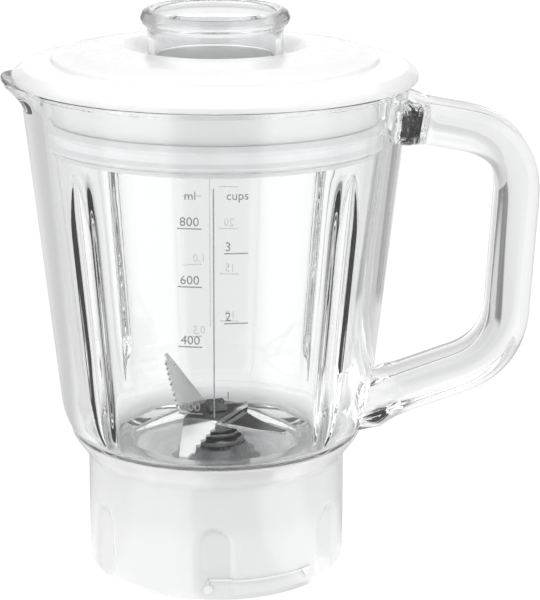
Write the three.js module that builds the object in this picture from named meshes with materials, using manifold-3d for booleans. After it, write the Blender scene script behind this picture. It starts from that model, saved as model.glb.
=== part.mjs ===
// Blender jug: a glass jug on a screw-on base ring, with a removable knife unit, a lid and a
// measuring cup in the lid's filler hole. Millimetres, +Z up, handle towards +X, spout towards -X.
// Heights (names ending in Z) are measured from the surface that the base ring stands on.
import * as THREE from "three";
import { ParametricGeometry } from "three/addons/geometries/ParametricGeometry.js";
import { mergeVertices } from "three/addons/utils/BufferGeometryUtils.js";
import Module from "manifold-3d";

const wasm = await Module();
wasm.setup();

// ---- Driving dimensions -------------------------------------------------------------------

const GAP = 0.3; // clearance left between two pieces that touch
const RUN = 0.3; // radial running clearance of everything that turns with the shaft
const RING_SIDES = 36; // facets round a large turned piece
const SMALL_SIDES = 16; // facets round a small turned piece

// Glass jug
const NECK_TOP_Z = 42; // underside of the bowl, where the neck begins
const FOOT_HEIGHT = 17; // from there up to where the straight wall starts
const WALL_HEIGHT = 113; // straight wall, up to the rim
const JUG_FOOT_R = 53.9; // outer radius at the foot of the straight wall
const JUG_RIM_R = 66.1; // outer radius at the rim
const JUG_WALL = 6;
const JUG_FLOOR = 4.6; // glass above the neck
const NECK_R = 38;
const NECK_BORE_R = 29; // opening that the knife unit fills
const NECK_LENGTH = 11;
const LUG_COUNT = 3;
const LUG_SPAN = 24; // degrees that one bayonet lug covers
const LUG_HEIGHT = 3.5;
const LUG_LIFT = 2; // from the neck's foot up to the lugs
const FLUTE_COUNT = 4;
const FLUTE_HALF_ANGLE = 4.4; // degrees
const FLUTE_DEPTH = 2.2;
const FLUTE_FROM_RIM = 24; // a flute's top end below the rim
const FLUTE_TAPER = 12; // length over which a flute's ends fade out
const SPOUT_REACH = 6.5; // how far the spout stands out beyond the rim
const SPOUT_HALF_ANGLE = 27; // degrees
const SPOUT_DEPTH = 12; // height over which it fades into the wall
const SPOUT_RISE = 1.4;
const SPOUT_EDGE = 1.5; // height of its upright lip
const SPOUT_LIP = 2.5; // outer part of the rim that rises with the spout
const RIM_ROUND = 1; // rounding of the rim's edges

// Handle
const HANDLE_WIDTH = 24;
const HANDLE_THICKNESS = 14.6;
const HANDLE_ROUND = 4.5; // edge radius of its section
const HANDLE_STANDOFF = 44.4; // from the rim's radius to the grip's outer face
const HANDLE_FROM_RIM = 11.9; // top bar's centre line below the rim
const HANDLE_LEAN = 3.9; // the grip's foot stands this much nearer the jug than its top
const HANDLE_DROP = 8; // fall of the top bar from the wall to the corner
const HANDLE_CLIMB = 16.8; // rise of the lower bar from the wall to the corner
const TOP_CORNER = 20; // length of the grip's centre line that the top corner takes up
const LOW_CORNER = 17.5;
const ROOT_HALF_WIDTH = 19; // half width of the flared root on the wall
const ROOT_LENGTH = 12;

// Base ring
const BASE_R = 44.9;
const BASE_WALL = 2.7;
const BASE_CHAMFER = 1.6;
const LIP_HEIGHT = 7; // flared lip above the bowl's underside
const LIP_THICKNESS = 0.9;
const LIP_CLEARANCE = 0.48; // between the lip and the glass bowl
const DECK_THICKNESS = 3; // inner floor that carries the knife unit
const DECK_BORE_R = 17;
const GRIP_COUNT = 6; // finger grooves round the base
const GRIP_WIDTH = 14.6;
const GRIP_HEIGHT = 27;
const GRIP_DEPTH = 1.6;
const DRIVE_LUG_Z = 5; // bottom of the lugs that lock on the motor unit
const DRIVE_LUG_HEIGHT = 4;
const DRIVE_LUG_REACH = 2.6;
const DRIVE_LUG_SPAN = 20; // degrees

// Knife unit
const FLANGE_THICKNESS = 2.7;
const GASKET_THICKNESS = 2.4;
const CARRIER_WALL = 2.2;
const DISH_RIM_HEIGHT = 1.5; // dish's edge above the bowl's underside
const DISH_DEPTH = 5.5;
const DISH_LOW_R = 16;
const HUB_TOP_R = 10.3;
const HUB_LENGTH = 21.2;
const SLEEVE_WALL = 2;
const BUSH_WALL = 1.3;
const BUSH_LENGTH = 6;
const SHAFT_R = 4;
const SHAFT_FREE_END = 2.8; // shaft's lower end below the coupling's body
const SHAFT_SEAL_HEIGHT = 2.4;
const CAP_HEIGHT = 2.4; // collar over the shaft seal
const CAP_R = 9.8;
const SLINGER_HEIGHT = 1.6;
const SLINGER_R = 7.4;
const SPACER_HEIGHT = 2.9;
const SPACER_R = 5.6;
const BLADE_THICKNESS = 1.3;
const BLADE_MARGIN = 1.4; // blade tips inside the neck's bore, so that the unit lifts out
const DRIVE_SQUARE = 5.4; // square of the shaft under the blades
const THREAD_R = 1.9;
const NUT_WIDTH = 6;
const NUT_HEIGHT = 2.6;
const NUT_ROOF = 0.5; // metal over the nut's blind thread
const NUT_TURN = 15; // degrees that the nut stands turned by
const WASHER_HEIGHT = 1;
const WASHER_R = 7.2;
const CIRCLIP_HEIGHT = 1;
const CIRCLIP_R = 6.6;
const CIRCLIP_GROOVE = 0.8;
const COUPLING_R = 13;
const COUPLING_HEIGHT = 8;
const COUPLING_DOGS = 4;
const DOG_HEIGHT = 3.5;
const PIN_R = 1.2;

// The four wings. Each starts on a bend line, whose middle lies centre millimetres from the axis
// towards an azimuth; line is the azimuth that the wing points to, bend its angle above level,
// short how far its tip stays inside the blades' reach, and offset the tip's sideways shift.
const RAISED_WING = { azimuth: 133, centre: 12.2, line: 131, bend: 46, short: 0.4 };
const LEVEL_WING = { azimuth: -24.4, centre: 8.6, line: -33, bend: -5, short: 0.4 };
const FRONT_WING = { azimuth: 239, centre: 10.5, line: 249.5, bend: -30, short: 1.6 };
const REAR_WING = { azimuth: 59, centre: 10.5, line: 69.5, bend: -42, short: 4 };
const WING_ROOT = 12.4; // width on the bend line
const WING_TIP = 3.2;
const WING_OVERLAP = 1.5; // reaches back into the plate

// Lid
const LID_OVERHANG = 2.5; // lid's rim beyond the glass
const LID_RIM_HEIGHT = 2.3; // straight edge of the rim
const LID_WALL = 2;
const DOME_INSET = 13.6; // from the lid's rim to the edge of the raised dome
const DOME_STEP_HEIGHT = 5.4; // dome's edge above the straight edge of the rim
const DOME_RISE = 3.5; // from there to the crown round the filler hole
const FILLER_MARGIN = 8; // from the cup's neck to the edge of the recess round it
const RECESS_DEPTH = 4.6;
const COLLAR_LENGTH = 11; // guide for the cup, below the recess
const SKIRT_DEPTH = 22; // skirt inside the glass, below the rim
const SKIRT_CLEARANCE = 1.9;
const SEAL_GROOVE = 1.7;
const LID_SEAL_HEIGHT = 8.5;
const SEAL_FROM_FOOT = 2; // seal above the skirt's foot

// Measuring cup
const CUP_STANDING = 12.2; // cup's rim above the crown of the lid
const CUP_NECK_R = 22.95;
const CUP_RIM_REACH = 2.45; // how far its rim stands out beyond its neck
const CUP_STEP = 1.35; // its plug is this much slimmer than its neck
const CUP_WALL = 2.4;
const CUP_RIM_HEIGHT = 6.4;
const CUP_PLUG_LENGTH = 10.5; // part of the cup inside the lid's collar

// ---- Heights and radii that follow -----------------------------------------------------------

const jugFootZ = NECK_TOP_Z + FOOT_HEIGHT;
const jugRimZ = jugFootZ + WALL_HEIGHT;
const fluteLowZ = jugFootZ + 1;
const fluteHighZ = jugRimZ - FLUTE_FROM_RIM;
const floorZ = NECK_TOP_Z + JUG_FLOOR;
const floorR = 0.8 * JUG_FOOT_R; // where the floor begins to rise into the wall
const neckFootZ = NECK_TOP_Z - NECK_LENGTH;
const gasketLowZ = neckFootZ - GAP - GASKET_THICKNESS;
const flangeTopZ = gasketLowZ - GAP;
const flangeLowZ = flangeTopZ - FLANGE_THICKNESS;

const deckTopZ = flangeLowZ - GAP;
const deckLowZ = deckTopZ - DECK_THICKNESS;
const baseInnerR = BASE_R - BASE_WALL;
const flareZ = NECK_TOP_Z - 1; // where the base ring's outer face starts to flare
const lipZ = NECK_TOP_Z + LIP_HEIGHT;

const handleTopZ = jugRimZ - HANDLE_FROM_RIM;

const shaftBoreR = SHAFT_R + RUN; // bore of the bushes, washers and spacers on the shaft
const sleeveBoreR = shaftBoreR + BUSH_WALL + GAP;
const sleeveR = sleeveBoreR + SLEEVE_WALL;
const dishRimZ = NECK_TOP_Z + DISH_RIM_HEIGHT;
const dishLowZ = dishRimZ - DISH_DEPTH;
const hubTopZ = dishRimZ + 0.2;
const hubLowZ = hubTopZ - HUB_LENGTH;
const capLowZ = hubTopZ + GAP;
const slingerLowZ = capLowZ + CAP_HEIGHT + 2 * GAP;
const spacerLowZ = slingerLowZ + SLINGER_HEIGHT + GAP;
const lowerBladeZ = spacerLowZ + SPACER_HEIGHT + GAP;
const upperBladeZ = lowerBladeZ + BLADE_THICKNESS + GAP;
const nutLowZ = upperBladeZ + BLADE_THICKNESS + GAP;
const bladeReach = NECK_BORE_R - BLADE_MARGIN;
const washerTopZ = hubLowZ - GAP;
const circlipTopZ = washerTopZ - WASHER_HEIGHT - GAP;
const couplingTopZ = circlipTopZ - CIRCLIP_HEIGHT - 2 * GAP;
const couplingLowZ = couplingTopZ - COUPLING_HEIGHT;
const pinZ = couplingTopZ - COUPLING_HEIGHT / 2;

const lidR = JUG_RIM_R + LID_OVERHANG;
const lidLowZ = jugRimZ + 2 * GAP;
const lidRimTopZ = lidLowZ + LID_RIM_HEIGHT;
const domeR = lidR - DOME_INSET;
const domeZ = lidRimTopZ + DOME_STEP_HEIGHT;
const crownZ = domeZ + DOME_RISE;
const cupRimR = CUP_NECK_R + CUP_RIM_REACH;
const cupPlugR = CUP_NECK_R - CUP_STEP;
const fillerR = CUP_NECK_R + FILLER_MARGIN;
const recessZ = crownZ - RECESS_DEPTH;
const collarR = cupPlugR + GAP + 0.1;
const skirtLowZ = jugRimZ - SKIRT_DEPTH;
const skirtR = wallR(skirtLowZ) - JUG_WALL - SKIRT_CLEARANCE;
const sealLowZ = skirtLowZ + SEAL_FROM_FOOT;
const sealHighZ = sealLowZ + LID_SEAL_HEIGHT;
const cupTopZ = crownZ + CUP_STANDING;
const cupStepZ = recessZ + GAP;
const cupLowZ = cupStepZ - CUP_PLUG_LENGTH;

// ---- Geometry helpers ------------------------------------------------------------------------

// A geometry as a manifold-3d solid.
function solid(geometry) {
  const bare = geometry.index ? geometry.clone() : geometry;
  bare.deleteAttribute("normal");
  bare.deleteAttribute("uv");
  const merged = mergeVertices(bare, 1e-4);
  return new wasm.Manifold(
    new wasm.Mesh({
      numProp: 3,
      vertProperties: merged.getAttribute("position").array,
      triVerts: new Uint32Array(merged.index.array),
    }),
  );
}

// A manifold-3d solid as a geometry.
function geometryOf(made) {
  const mesh = made.getMesh();
  const geometry = new THREE.BufferGeometry();
  geometry.setAttribute("position", new THREE.BufferAttribute(mesh.vertProperties, 3));
  geometry.setIndex(new THREE.BufferAttribute(mesh.triVerts, 1));
  geometry.computeVertexNormals();
  return geometry;
}

// A profile of [radius, height] points, listed from the bottom of the outside upwards, turned
// round the Z axis. A profile that leaves the axis free closes on itself.
function turned(profile, sides) {
  const points = profile.map(([r, z]) => new THREE.Vector2(r, z));
  if (profile[0][0] > 0) points.push(points[0].clone());
  return new THREE.LatheGeometry(points, sides).rotateX(Math.PI / 2);
}

// A flat ring between two radii.
function ring(inner, outer, low, height, sides) {
  const high = low + height;
  return turned([[inner, low], [outer, low], [outer, high], [inner, high]], sides);
}

// A block that covers an arc of a ring, centred on an azimuth in degrees.
function arcBlock(inner, outer, low, height, azimuth, span) {
  const half = THREE.MathUtils.degToRad(span / 2);
  const shape = new THREE.Shape();
  shape.absarc(0, 0, outer, -half, half, false);
  shape.absarc(0, 0, inner, half, -half, true);
  const block = new THREE.ExtrudeGeometry(shape, {
    depth: height,
    bevelEnabled: false,
    curveSegments: Math.ceil(span / 12),
  });
  return block.translate(0, 0, low).rotateZ(THREE.MathUtils.degToRad(azimuth));
}

// An outline of [x, y] points raised from one height by a depth.
function raised(points, low, depth) {
  const shape = new THREE.Shape(points.map(([x, y]) => new THREE.Vector2(x, y)));
  return new THREE.ExtrudeGeometry(shape, { depth, bevelEnabled: false }).translate(0, 0, low);
}

function evenAzimuths(count, first) {
  return Array.from({ length: count }, (_, i) => first + (i * 360) / count);
}

function piece(name, geometry, color, roughness, metalness, opacity = 1) {
  const material = new THREE.MeshStandardMaterial({
    color,
    roughness,
    metalness,
    opacity,
    transparent: opacity < 1,
  });
  const mesh = new THREE.Mesh(geometry, material);
  mesh.name = name;
  return mesh;
}

const glass = (name, geometry) => piece(name, geometry, 0xe9eef0, 0.04, 0, 0.35);
const whitePlastic = (name, geometry) => piece(name, geometry, 0xf4f5f6, 0.25, 0);
const greyPlastic = (name, geometry) => piece(name, geometry, 0x5c6063, 0.45, 0);
const rubber = (name, geometry) => piece(name, geometry, 0xdcdedf, 0.7, 0);
const darkRubber = (name, geometry) => piece(name, geometry, 0x26282a, 0.75, 0);
const steel = (name, geometry) => piece(name, geometry, 0xa9acae, 0.25, 1);
const bronze = (name, geometry) => piece(name, geometry, 0xa9834b, 0.45, 1);

// ---- Glass jug ---------------------------------------------------------------------------------

// Outer radius of the straight wall.
function wallR(z) {
  const slope = (JUG_RIM_R - JUG_FOOT_R) / (jugRimZ - jugFootZ);
  return JUG_FOOT_R + slope * (z - jugFootZ);
}

// Outer profile between the neck and the straight wall: points of [radius, height].
function bowlFoot() {
  const drop = jugFootZ - NECK_TOP_Z;
  const turn = JUG_FOOT_R - NECK_R;
  return [
    [NECK_R, NECK_TOP_Z],
    [NECK_R + 0.35 * turn, NECK_TOP_Z + 0.1 * drop],
    [NECK_R + 0.64 * turn, NECK_TOP_Z + 0.32 * drop],
    [NECK_R + 0.85 * turn, NECK_TOP_Z + 0.6 * drop],
  ];
}

// Inner profile, from the neck's foot up to the rim.
function innerProfile() {
  const foot = jugFootZ - 1;
  return [
    [NECK_BORE_R, neckFootZ],
    [NECK_BORE_R, floorZ - 1],
    [NECK_BORE_R + 1, floorZ],
    [floorR, floorZ + 2.2],
    [wallR(foot) - JUG_WALL - 1.6, foot - 3.4],
    [wallR(foot) - JUG_WALL, foot + 3],
    [wallR(fluteHighZ) - JUG_WALL, fluteHighZ],
    [JUG_RIM_R - JUG_WALL, jugRimZ - RIM_ROUND],
  ];
}

// Inward shift of the wall in a flute.
function fluteShift(azimuth, z) {
  if (z <= fluteLowZ || z >= fluteHighZ) return 0;
  const pitch = 360 / FLUTE_COUNT;
  const off = Math.abs((((azimuth + 360) % pitch) + pitch) % pitch - pitch / 2);
  if (off >= FLUTE_HALF_ANGLE) return 0;
  const across = Math.cos((off / FLUTE_HALF_ANGLE) * (Math.PI / 2));
  const along = Math.min(1, (z - fluteLowZ) / FLUTE_TAPER, (fluteHighZ - z) / FLUTE_TAPER);
  return FLUTE_DEPTH * across * along;
}

// Outward shift of the wall in the spout, from 0 below it to 1 at the rim's middle.
function spoutShare(azimuth, z) {
  const off = Math.abs(azimuth - 180) / SPOUT_HALF_ANGLE;
  const up = (z - jugRimZ + SPOUT_DEPTH) / (SPOUT_DEPTH - SPOUT_EDGE);
  if (off >= 1 || up <= 0) return 0;
  return (Math.cos(off * Math.PI) / 2 + 0.5) * Math.min(1, up) ** 2;
}

// Azimuths at which the jug's wall is stepped, closer together in the flutes.
function jugAzimuths() {
  const even = evenAzimuths(RING_SIDES, 0);
  const fine = [-1, -0.5, 0, 0.5, 1].map((step) => step * FLUTE_HALF_ANGLE);
  const flutes = evenAzimuths(FLUTE_COUNT, 180 / FLUTE_COUNT);
  const clear = even.filter((a) => flutes.every((f) => Math.abs(a - f) > FLUTE_HALF_ANGLE + 1));
  const both = [...clear, ...flutes.flatMap((f) => fine.map((step) => f + step))];
  return [...both.sort((a, b) => a - b), 360];
}

// How far across the rim's flat a radius lies, from 0 on the inside to 1 on the outside. Only the
// outside of the spout rises, because the lid rests over the inside.
function outwards(r) {
  const outside = JUG_RIM_R - RIM_ROUND;
  const inside = JUG_RIM_R - SPOUT_LIP;
  return THREE.MathUtils.clamp((r - inside) / (outside - inside), 0, 1);
}

function jugBody() {
  const fluteSteps = [
    fluteLowZ,
    fluteLowZ + FLUTE_TAPER,
    (fluteLowZ + fluteHighZ) / 2,
    fluteHighZ - FLUTE_TAPER,
    fluteHighZ,
  ];
  const spoutSteps = [1, 0.66, 0.33].map((share) => jugRimZ - share * SPOUT_DEPTH);
  const inner = innerProfile();
  const wallIn = [...fluteSteps.slice(1), ...spoutSteps].map((z) => [wallR(z) - JUG_WALL, z]);
  const wallOut = [...fluteSteps, ...spoutSteps].map((z) => [wallR(z), z]);
  const profile = [
    [NECK_R, neckFootZ],
    ...bowlFoot(),
    ...wallOut,
    [JUG_RIM_R, jugRimZ - RIM_ROUND],
    [JUG_RIM_R - RIM_ROUND, jugRimZ],
    [JUG_RIM_R - SPOUT_LIP, jugRimZ],
    [JUG_RIM_R - JUG_WALL + RIM_ROUND, jugRimZ],
    inner[inner.length - 1],
    ...wallIn.reverse(),
    ...inner.slice(0, 6).reverse(),
  ];
  const azimuths = jugAzimuths();
  const surface = (u, v, target) => {
    const azimuth = azimuths[Math.round(u * (azimuths.length - 1))];
    const step = Math.round(v * profile.length) % profile.length;
    const [r, z] = profile[step];
    const share = spoutShare(azimuth, z);
    const turn = THREE.MathUtils.degToRad(azimuth % 360);
    const reach = r - fluteShift(azimuth, z) + SPOUT_REACH * share;
    const lift = z < jugRimZ - 2 ? 0 : SPOUT_RISE * share ** 2 * outwards(r);
    target.set(reach * Math.cos(turn), reach * Math.sin(turn), z + lift);
  };
  return new ParametricGeometry(surface, azimuths.length - 1, profile.length);
}

// The space inside the jug, which nothing of the handle's roots may enter.
function jugCavity() {
  const profile = innerProfile();
  const rimR = profile[profile.length - 1][0];
  const above = jugRimZ + 5;
  return turned([[0, neckFootZ], ...profile, [rimR, above], [0, above]], RING_SIDES * 2);
}

// A rounded corner of the handle's centre line, which starts and ends a length away from it.
function corner(before, at, after, length) {
  const start = at.clone().add(before.clone().sub(at).setLength(length));
  const end = at.clone().add(after.clone().sub(at).setLength(length));
  return { start, curve: new THREE.QuadraticBezierCurve3(start, at, end), end };
}

function handleSweep() {
  const gripX = JUG_RIM_R + HANDLE_STANDOFF - HANDLE_THICKNESS / 2;
  const wallTop = new THREE.Vector3(wallR(handleTopZ) - JUG_WALL, 0, handleTopZ);
  const top = new THREE.Vector3(gripX + 0.25 * HANDLE_LEAN, 0, handleTopZ - HANDLE_DROP);
  const low = new THREE.Vector3(gripX - 0.75 * HANDLE_LEAN, 0, jugFootZ + HANDLE_CLIMB);
  const onWall = new THREE.Vector3(wallR(jugFootZ), 0, jugFootZ);
  const inside = onWall.clone().sub(low).setLength(2 * JUG_WALL);
  const wallLow = onWall.add(inside);
  const first = corner(wallTop, top, low, TOP_CORNER);
  const second = corner(top, low, wallLow, LOW_CORNER);
  const path = new THREE.CurvePath();
  path.add(new THREE.LineCurve3(wallTop, first.start));
  path.add(first.curve);
  path.add(new THREE.LineCurve3(first.end, second.start));
  path.add(second.curve);
  path.add(new THREE.LineCurve3(second.end, wallLow));
  const w = HANDLE_WIDTH / 2;
  const t = HANDLE_THICKNESS / 2;
  const c = HANDLE_ROUND;
  const shape = new THREE.Shape();
  shape.moveTo(w, -t + c);
  shape.lineTo(w, t - c);
  shape.absarc(w - c, t - c, c, 0, Math.PI / 2);
  shape.lineTo(-w + c, t);
  shape.absarc(-w + c, t - c, c, Math.PI / 2, Math.PI);
  shape.lineTo(-w, -t + c);
  shape.absarc(-w + c, -t + c, c, Math.PI, 1.5 * Math.PI);
  shape.lineTo(w - c, -t);
  shape.absarc(w - c, -t + c, c, 1.5 * Math.PI, 2 * Math.PI);
  return new THREE.ExtrudeGeometry(shape, { steps: 28, extrudePath: path, curveSegments: 2 });
}

// The flared root where the top bar meets the wall.
function handleRoot() {
  const inside = wallR(handleTopZ) - JUG_WALL - 4;
  const outside = wallR(handleTopZ) + ROOT_LENGTH;
  const w = HANDLE_WIDTH / 2 - 1;
  const outline = [
    [inside, -ROOT_HALF_WIDTH],
    [wallR(handleTopZ) - 1.5, -ROOT_HALF_WIDTH],
    [wallR(handleTopZ) + 2.5, -w - 2],
    [outside, -w],
    [outside, w],
    [wallR(handleTopZ) + 2.5, w + 2],
    [wallR(handleTopZ) - 1.5, ROOT_HALF_WIDTH],
    [inside, ROOT_HALF_WIDTH],
  ];
  const thick = HANDLE_THICKNESS - 1;
  return raised(outline, handleTopZ - thick / 2, thick);
}

function glassJug() {
  const cavity = solid(jugCavity());
  const handle = solid(handleSweep()).add(solid(handleRoot())).subtract(cavity);
  let made = solid(jugBody()).add(handle);
  for (const azimuth of evenAzimuths(LUG_COUNT, 90)) {
    const lug = arcBlock(
      NECK_R - 1,
      baseInnerR - 2 * GAP,
      neckFootZ + LUG_LIFT,
      LUG_HEIGHT,
      azimuth,
      LUG_SPAN,
    );
    made = made.add(solid(lug));
  }
  return glass("glass_jug", geometryOf(made));
}

// ---- Base ring ---------------------------------------------------------------------------------

function baseRing() {
  const throat = bowlFoot()[2];
  const lipInnerR = lipR(lipZ);
  const lipOuterR = lipInnerR + LIP_THICKNESS;
  const flare = lipOuterR - BASE_R;
  const profile = [
    [BASE_R - BASE_CHAMFER, 0],
    [BASE_R, BASE_CHAMFER + 1],
    [BASE_R, flareZ],
    [BASE_R + 0.2 * flare, flareZ + 1.6],
    [BASE_R + 0.44 * flare, flareZ + 3.2],
    [lipOuterR - 0.9, lipZ - 1.4],
    [lipOuterR, lipZ],
    [lipInnerR, lipZ],
    [throat[0] + 0.5, throat[1] - 0.9],
    [baseInnerR + 1, flareZ + 1.2],
    [baseInnerR, flareZ - 1],
    [baseInnerR, deckTopZ],
    [DECK_BORE_R, deckTopZ],
    [DECK_BORE_R, deckLowZ],
    [baseInnerR, deckLowZ],
    [baseInnerR, 0],
  ];
  let made = solid(turned(profile, RING_SIDES));
  for (const azimuth of evenAzimuths(GRIP_COUNT, 270)) {
    made = made.subtract(solid(gripGroove(azimuth)));
  }
  const hookLowZ = neckFootZ + LUG_LIFT + LUG_HEIGHT + 2 * GAP;
  for (const azimuth of evenAzimuths(LUG_COUNT, 90)) {
    const hook = arcBlock(
      NECK_R + 2 * GAP,
      baseInnerR + 1,
      hookLowZ,
      LUG_HEIGHT - 1,
      azimuth,
      LUG_SPAN,
    );
    made = made.add(solid(hook));
  }
  for (const azimuth of evenAzimuths(LUG_COUNT, 30)) {
    const lug = arcBlock(
      baseInnerR - DRIVE_LUG_REACH,
      baseInnerR + 0.8,
      DRIVE_LUG_Z,
      DRIVE_LUG_HEIGHT,
      azimuth,
      DRIVE_LUG_SPAN,
    );
    made = made.add(solid(lug));
  }
  return whitePlastic("base_ring", geometryOf(made));
}

// Inner radius of the lip, a clearance outside the glass bowl at one height.
function lipR(z) {
  const points = [...bowlFoot(), [JUG_FOOT_R, jugFootZ]];
  const above = points.findIndex((point) => point[1] > z);
  const [r1, z1] = points[above - 1];
  const [r2, z2] = points[above];
  return r1 + ((r2 - r1) * (z - z1)) / (z2 - z1) + LIP_CLEARANCE;
}

// The tool that cuts one finger groove: an upright slot with a round top.
function gripGroove(azimuth) {
  const half = GRIP_WIDTH / 2;
  const shape = new THREE.Shape();
  shape.moveTo(-half, -5);
  shape.lineTo(half, -5);
  shape.lineTo(half, GRIP_HEIGHT - half);
  shape.absarc(0, GRIP_HEIGHT - half, half, 0, Math.PI, false);
  shape.lineTo(-half, -5);
  const slot = new THREE.ExtrudeGeometry(shape, {
    depth: 10,
    bevelEnabled: false,
    curveSegments: 5,
  });
  return slot
    .rotateX(Math.PI / 2)
    .rotateZ(Math.PI)
    .translate(0, BASE_R - GRIP_DEPTH, 0)
    .rotateZ(THREE.MathUtils.degToRad(azimuth - 90));
}

// ---- Knife unit ----------------------------------------------------------------------------------

function knifeCarrier() {
  const plugR = NECK_BORE_R - 2 * GAP - 0.1;
  const hubBoreR = sleeveR + GAP;
  const hubR = hubBoreR + CARRIER_WALL;
  const dishMidR = (DISH_LOW_R + plugR) / 2;
  const profile = [
    [plugR - CARRIER_WALL, flangeLowZ],
    [NECK_R + 1, flangeLowZ],
    [NECK_R + 1, flangeTopZ],
    [plugR, flangeTopZ],
    [plugR, dishRimZ - 0.8],
    [plugR - 0.8, dishRimZ],
    [plugR - 2.4, dishRimZ - 0.8],
    [dishMidR, dishLowZ + 1],
    [DISH_LOW_R, dishLowZ],
    [HUB_TOP_R + 1.6, hubTopZ - 2.6],
    [HUB_TOP_R, hubTopZ],
    [hubBoreR, hubTopZ],
    [hubBoreR, hubLowZ],
    [hubR, hubLowZ],
    [hubR, dishLowZ - CARRIER_WALL],
    [dishMidR, dishLowZ - CARRIER_WALL + 0.6],
    [plugR - CARRIER_WALL, dishLowZ],
  ];
  return greyPlastic("knife_carrier", turned(profile, RING_SIDES));
}

function gasket() {
  const outline = ring(NECK_BORE_R + 0.6, NECK_R - 0.4, gasketLowZ, GASKET_THICKNESS, RING_SIDES);
  return rubber("jug_gasket", outline);
}

function bearingSleeve() {
  const length = hubTopZ - hubLowZ;
  return steel("bearing_sleeve", ring(sleeveBoreR, sleeveR, hubLowZ, length, 1.5 * SMALL_SIDES));
}

function bush(name, low) {
  const outer = sleeveBoreR - GAP;
  return bronze(name, ring(shaftBoreR, outer, low, BUSH_LENGTH, SMALL_SIDES));
}

function shaftSeal() {
  const outer = sleeveBoreR - GAP;
  const low = hubTopZ - GAP - SHAFT_SEAL_HEIGHT;
  const high = low + SHAFT_SEAL_HEIGHT;
  const waist = shaftBoreR + 0.5;
  const profile = [
    [waist, low],
    [outer, low],
    [outer, high],
    [shaftBoreR, high],
    [waist, high - 0.9],
  ];
  return darkRubber("shaft_seal", turned(profile, SMALL_SIDES));
}

function sealCap() {
  const high = capLowZ + CAP_HEIGHT;
  const profile = [
    [shaftBoreR, capLowZ],
    [CAP_R, capLowZ],
    [CAP_R, high - 0.7],
    [CAP_R - 0.9, high],
    [shaftBoreR, high],
  ];
  return steel("seal_cap", turned(profile, 1.5 * SMALL_SIDES));
}

function bladeShaft() {
  const grooveR = SHAFT_R - CIRCLIP_GROOVE;
  const grooveLow = circlipTopZ - CIRCLIP_HEIGHT - GAP;
  const grooveHigh = circlipTopZ + GAP;
  const squareLow = lowerBladeZ - GAP;
  const shaftEndZ = couplingLowZ - SHAFT_FREE_END;
  const stem = turned(
    [
      [0, shaftEndZ],
      [SHAFT_R, shaftEndZ],
      [SHAFT_R, grooveLow],
      [grooveR, grooveLow],
      [grooveR, grooveHigh],
      [SHAFT_R, grooveHigh],
      [SHAFT_R, squareLow],
      [0, squareLow],
    ],
    SMALL_SIDES,
  );
  const squareTop = upperBladeZ + BLADE_THICKNESS;
  const square = new THREE.BoxGeometry(DRIVE_SQUARE, DRIVE_SQUARE, squareTop - squareLow + 1);
  square.translate(0, 0, (squareTop + squareLow - 1) / 2);
  const threadTop = nutLowZ + NUT_HEIGHT - NUT_ROOF - GAP;
  const threadLow = squareTop - 1;
  const thread = turned(
    [[0, threadLow], [THREAD_R, threadLow], [THREAD_R, threadTop], [0, threadTop]],
    SMALL_SIDES / 2,
  );
  const made = solid(stem).add(solid(square)).add(solid(thread)).subtract(solid(pinHole()));
  return steel("blade_shaft", geometryOf(made));
}

function alongY(radius, length) {
  return new THREE.CylinderGeometry(radius, radius, length, SMALL_SIDES / 2).translate(0, 0, pinZ);
}

function pinHole() {
  return alongY(PIN_R + GAP, 2 * COUPLING_R + 10);
}

function wing({ azimuth, centre, line, bend, short }, top) {
  const tilt = THREE.MathUtils.degToRad(bend);
  const length = (bladeReach - short - centre) / Math.cos(tilt);
  const outline = [
    [-WING_OVERLAP, -WING_ROOT / 2],
    [0, -WING_ROOT / 2],
    [length, -WING_TIP / 2],
    [length, WING_TIP / 2],
    [0, WING_ROOT / 2],
    [-WING_OVERLAP, WING_ROOT / 2],
  ];
  const bar = raised(outline, -BLADE_THICKNESS, BLADE_THICKNESS);
  const turn = THREE.MathUtils.degToRad(azimuth);
  bar.rotateY(-tilt);
  bar.rotateZ(THREE.MathUtils.degToRad(line));
  return bar.translate(centre * Math.cos(turn), centre * Math.sin(turn), top);
}

// Ends of a wing's bend line, in plan.
function bendEnds({ azimuth, centre, line }) {
  const turn = THREE.MathUtils.degToRad(azimuth);
  const along = THREE.MathUtils.degToRad(line + 90);
  return [-1, 1].map((side) => [
    centre * Math.cos(turn) + ((side * WING_ROOT) / 2) * Math.cos(along),
    centre * Math.sin(turn) + ((side * WING_ROOT) / 2) * Math.sin(along),
  ]);
}

// A knife blade: a flat plate between two bent wings, with a square hole for the shaft.
function blade(name, low, first, second) {
  const top = low + BLADE_THICKNESS;
  const outline = [...bendEnds(first), ...bendEnds(second)];
  const plate = solid(raised(outline, low, BLADE_THICKNESS));
  const hole = DRIVE_SQUARE + 2 * GAP;
  const bore = new THREE.BoxGeometry(hole, hole, 10).translate(0, 0, low);
  const wings = solid(wing(first, top)).add(solid(wing(second, top)));
  return steel(name, geometryOf(plate.add(wings).subtract(solid(bore))));
}

function bladeNut() {
  const outside = new THREE.BoxGeometry(NUT_WIDTH, NUT_WIDTH, NUT_HEIGHT);
  outside.rotateZ(THREE.MathUtils.degToRad(NUT_TURN));
  outside.translate(0, 0, nutLowZ + NUT_HEIGHT / 2);
  const boreR = THREAD_R + GAP;
  const deep = 2 * (NUT_HEIGHT - NUT_ROOF); // half of it lies below the nut
  const bore = new THREE.CylinderGeometry(boreR, boreR, deep, SMALL_SIDES / 2);
  bore.rotateX(Math.PI / 2).translate(0, 0, nutLowZ);
  return steel("blade_nut", geometryOf(solid(outside).subtract(solid(bore))));
}

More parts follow.
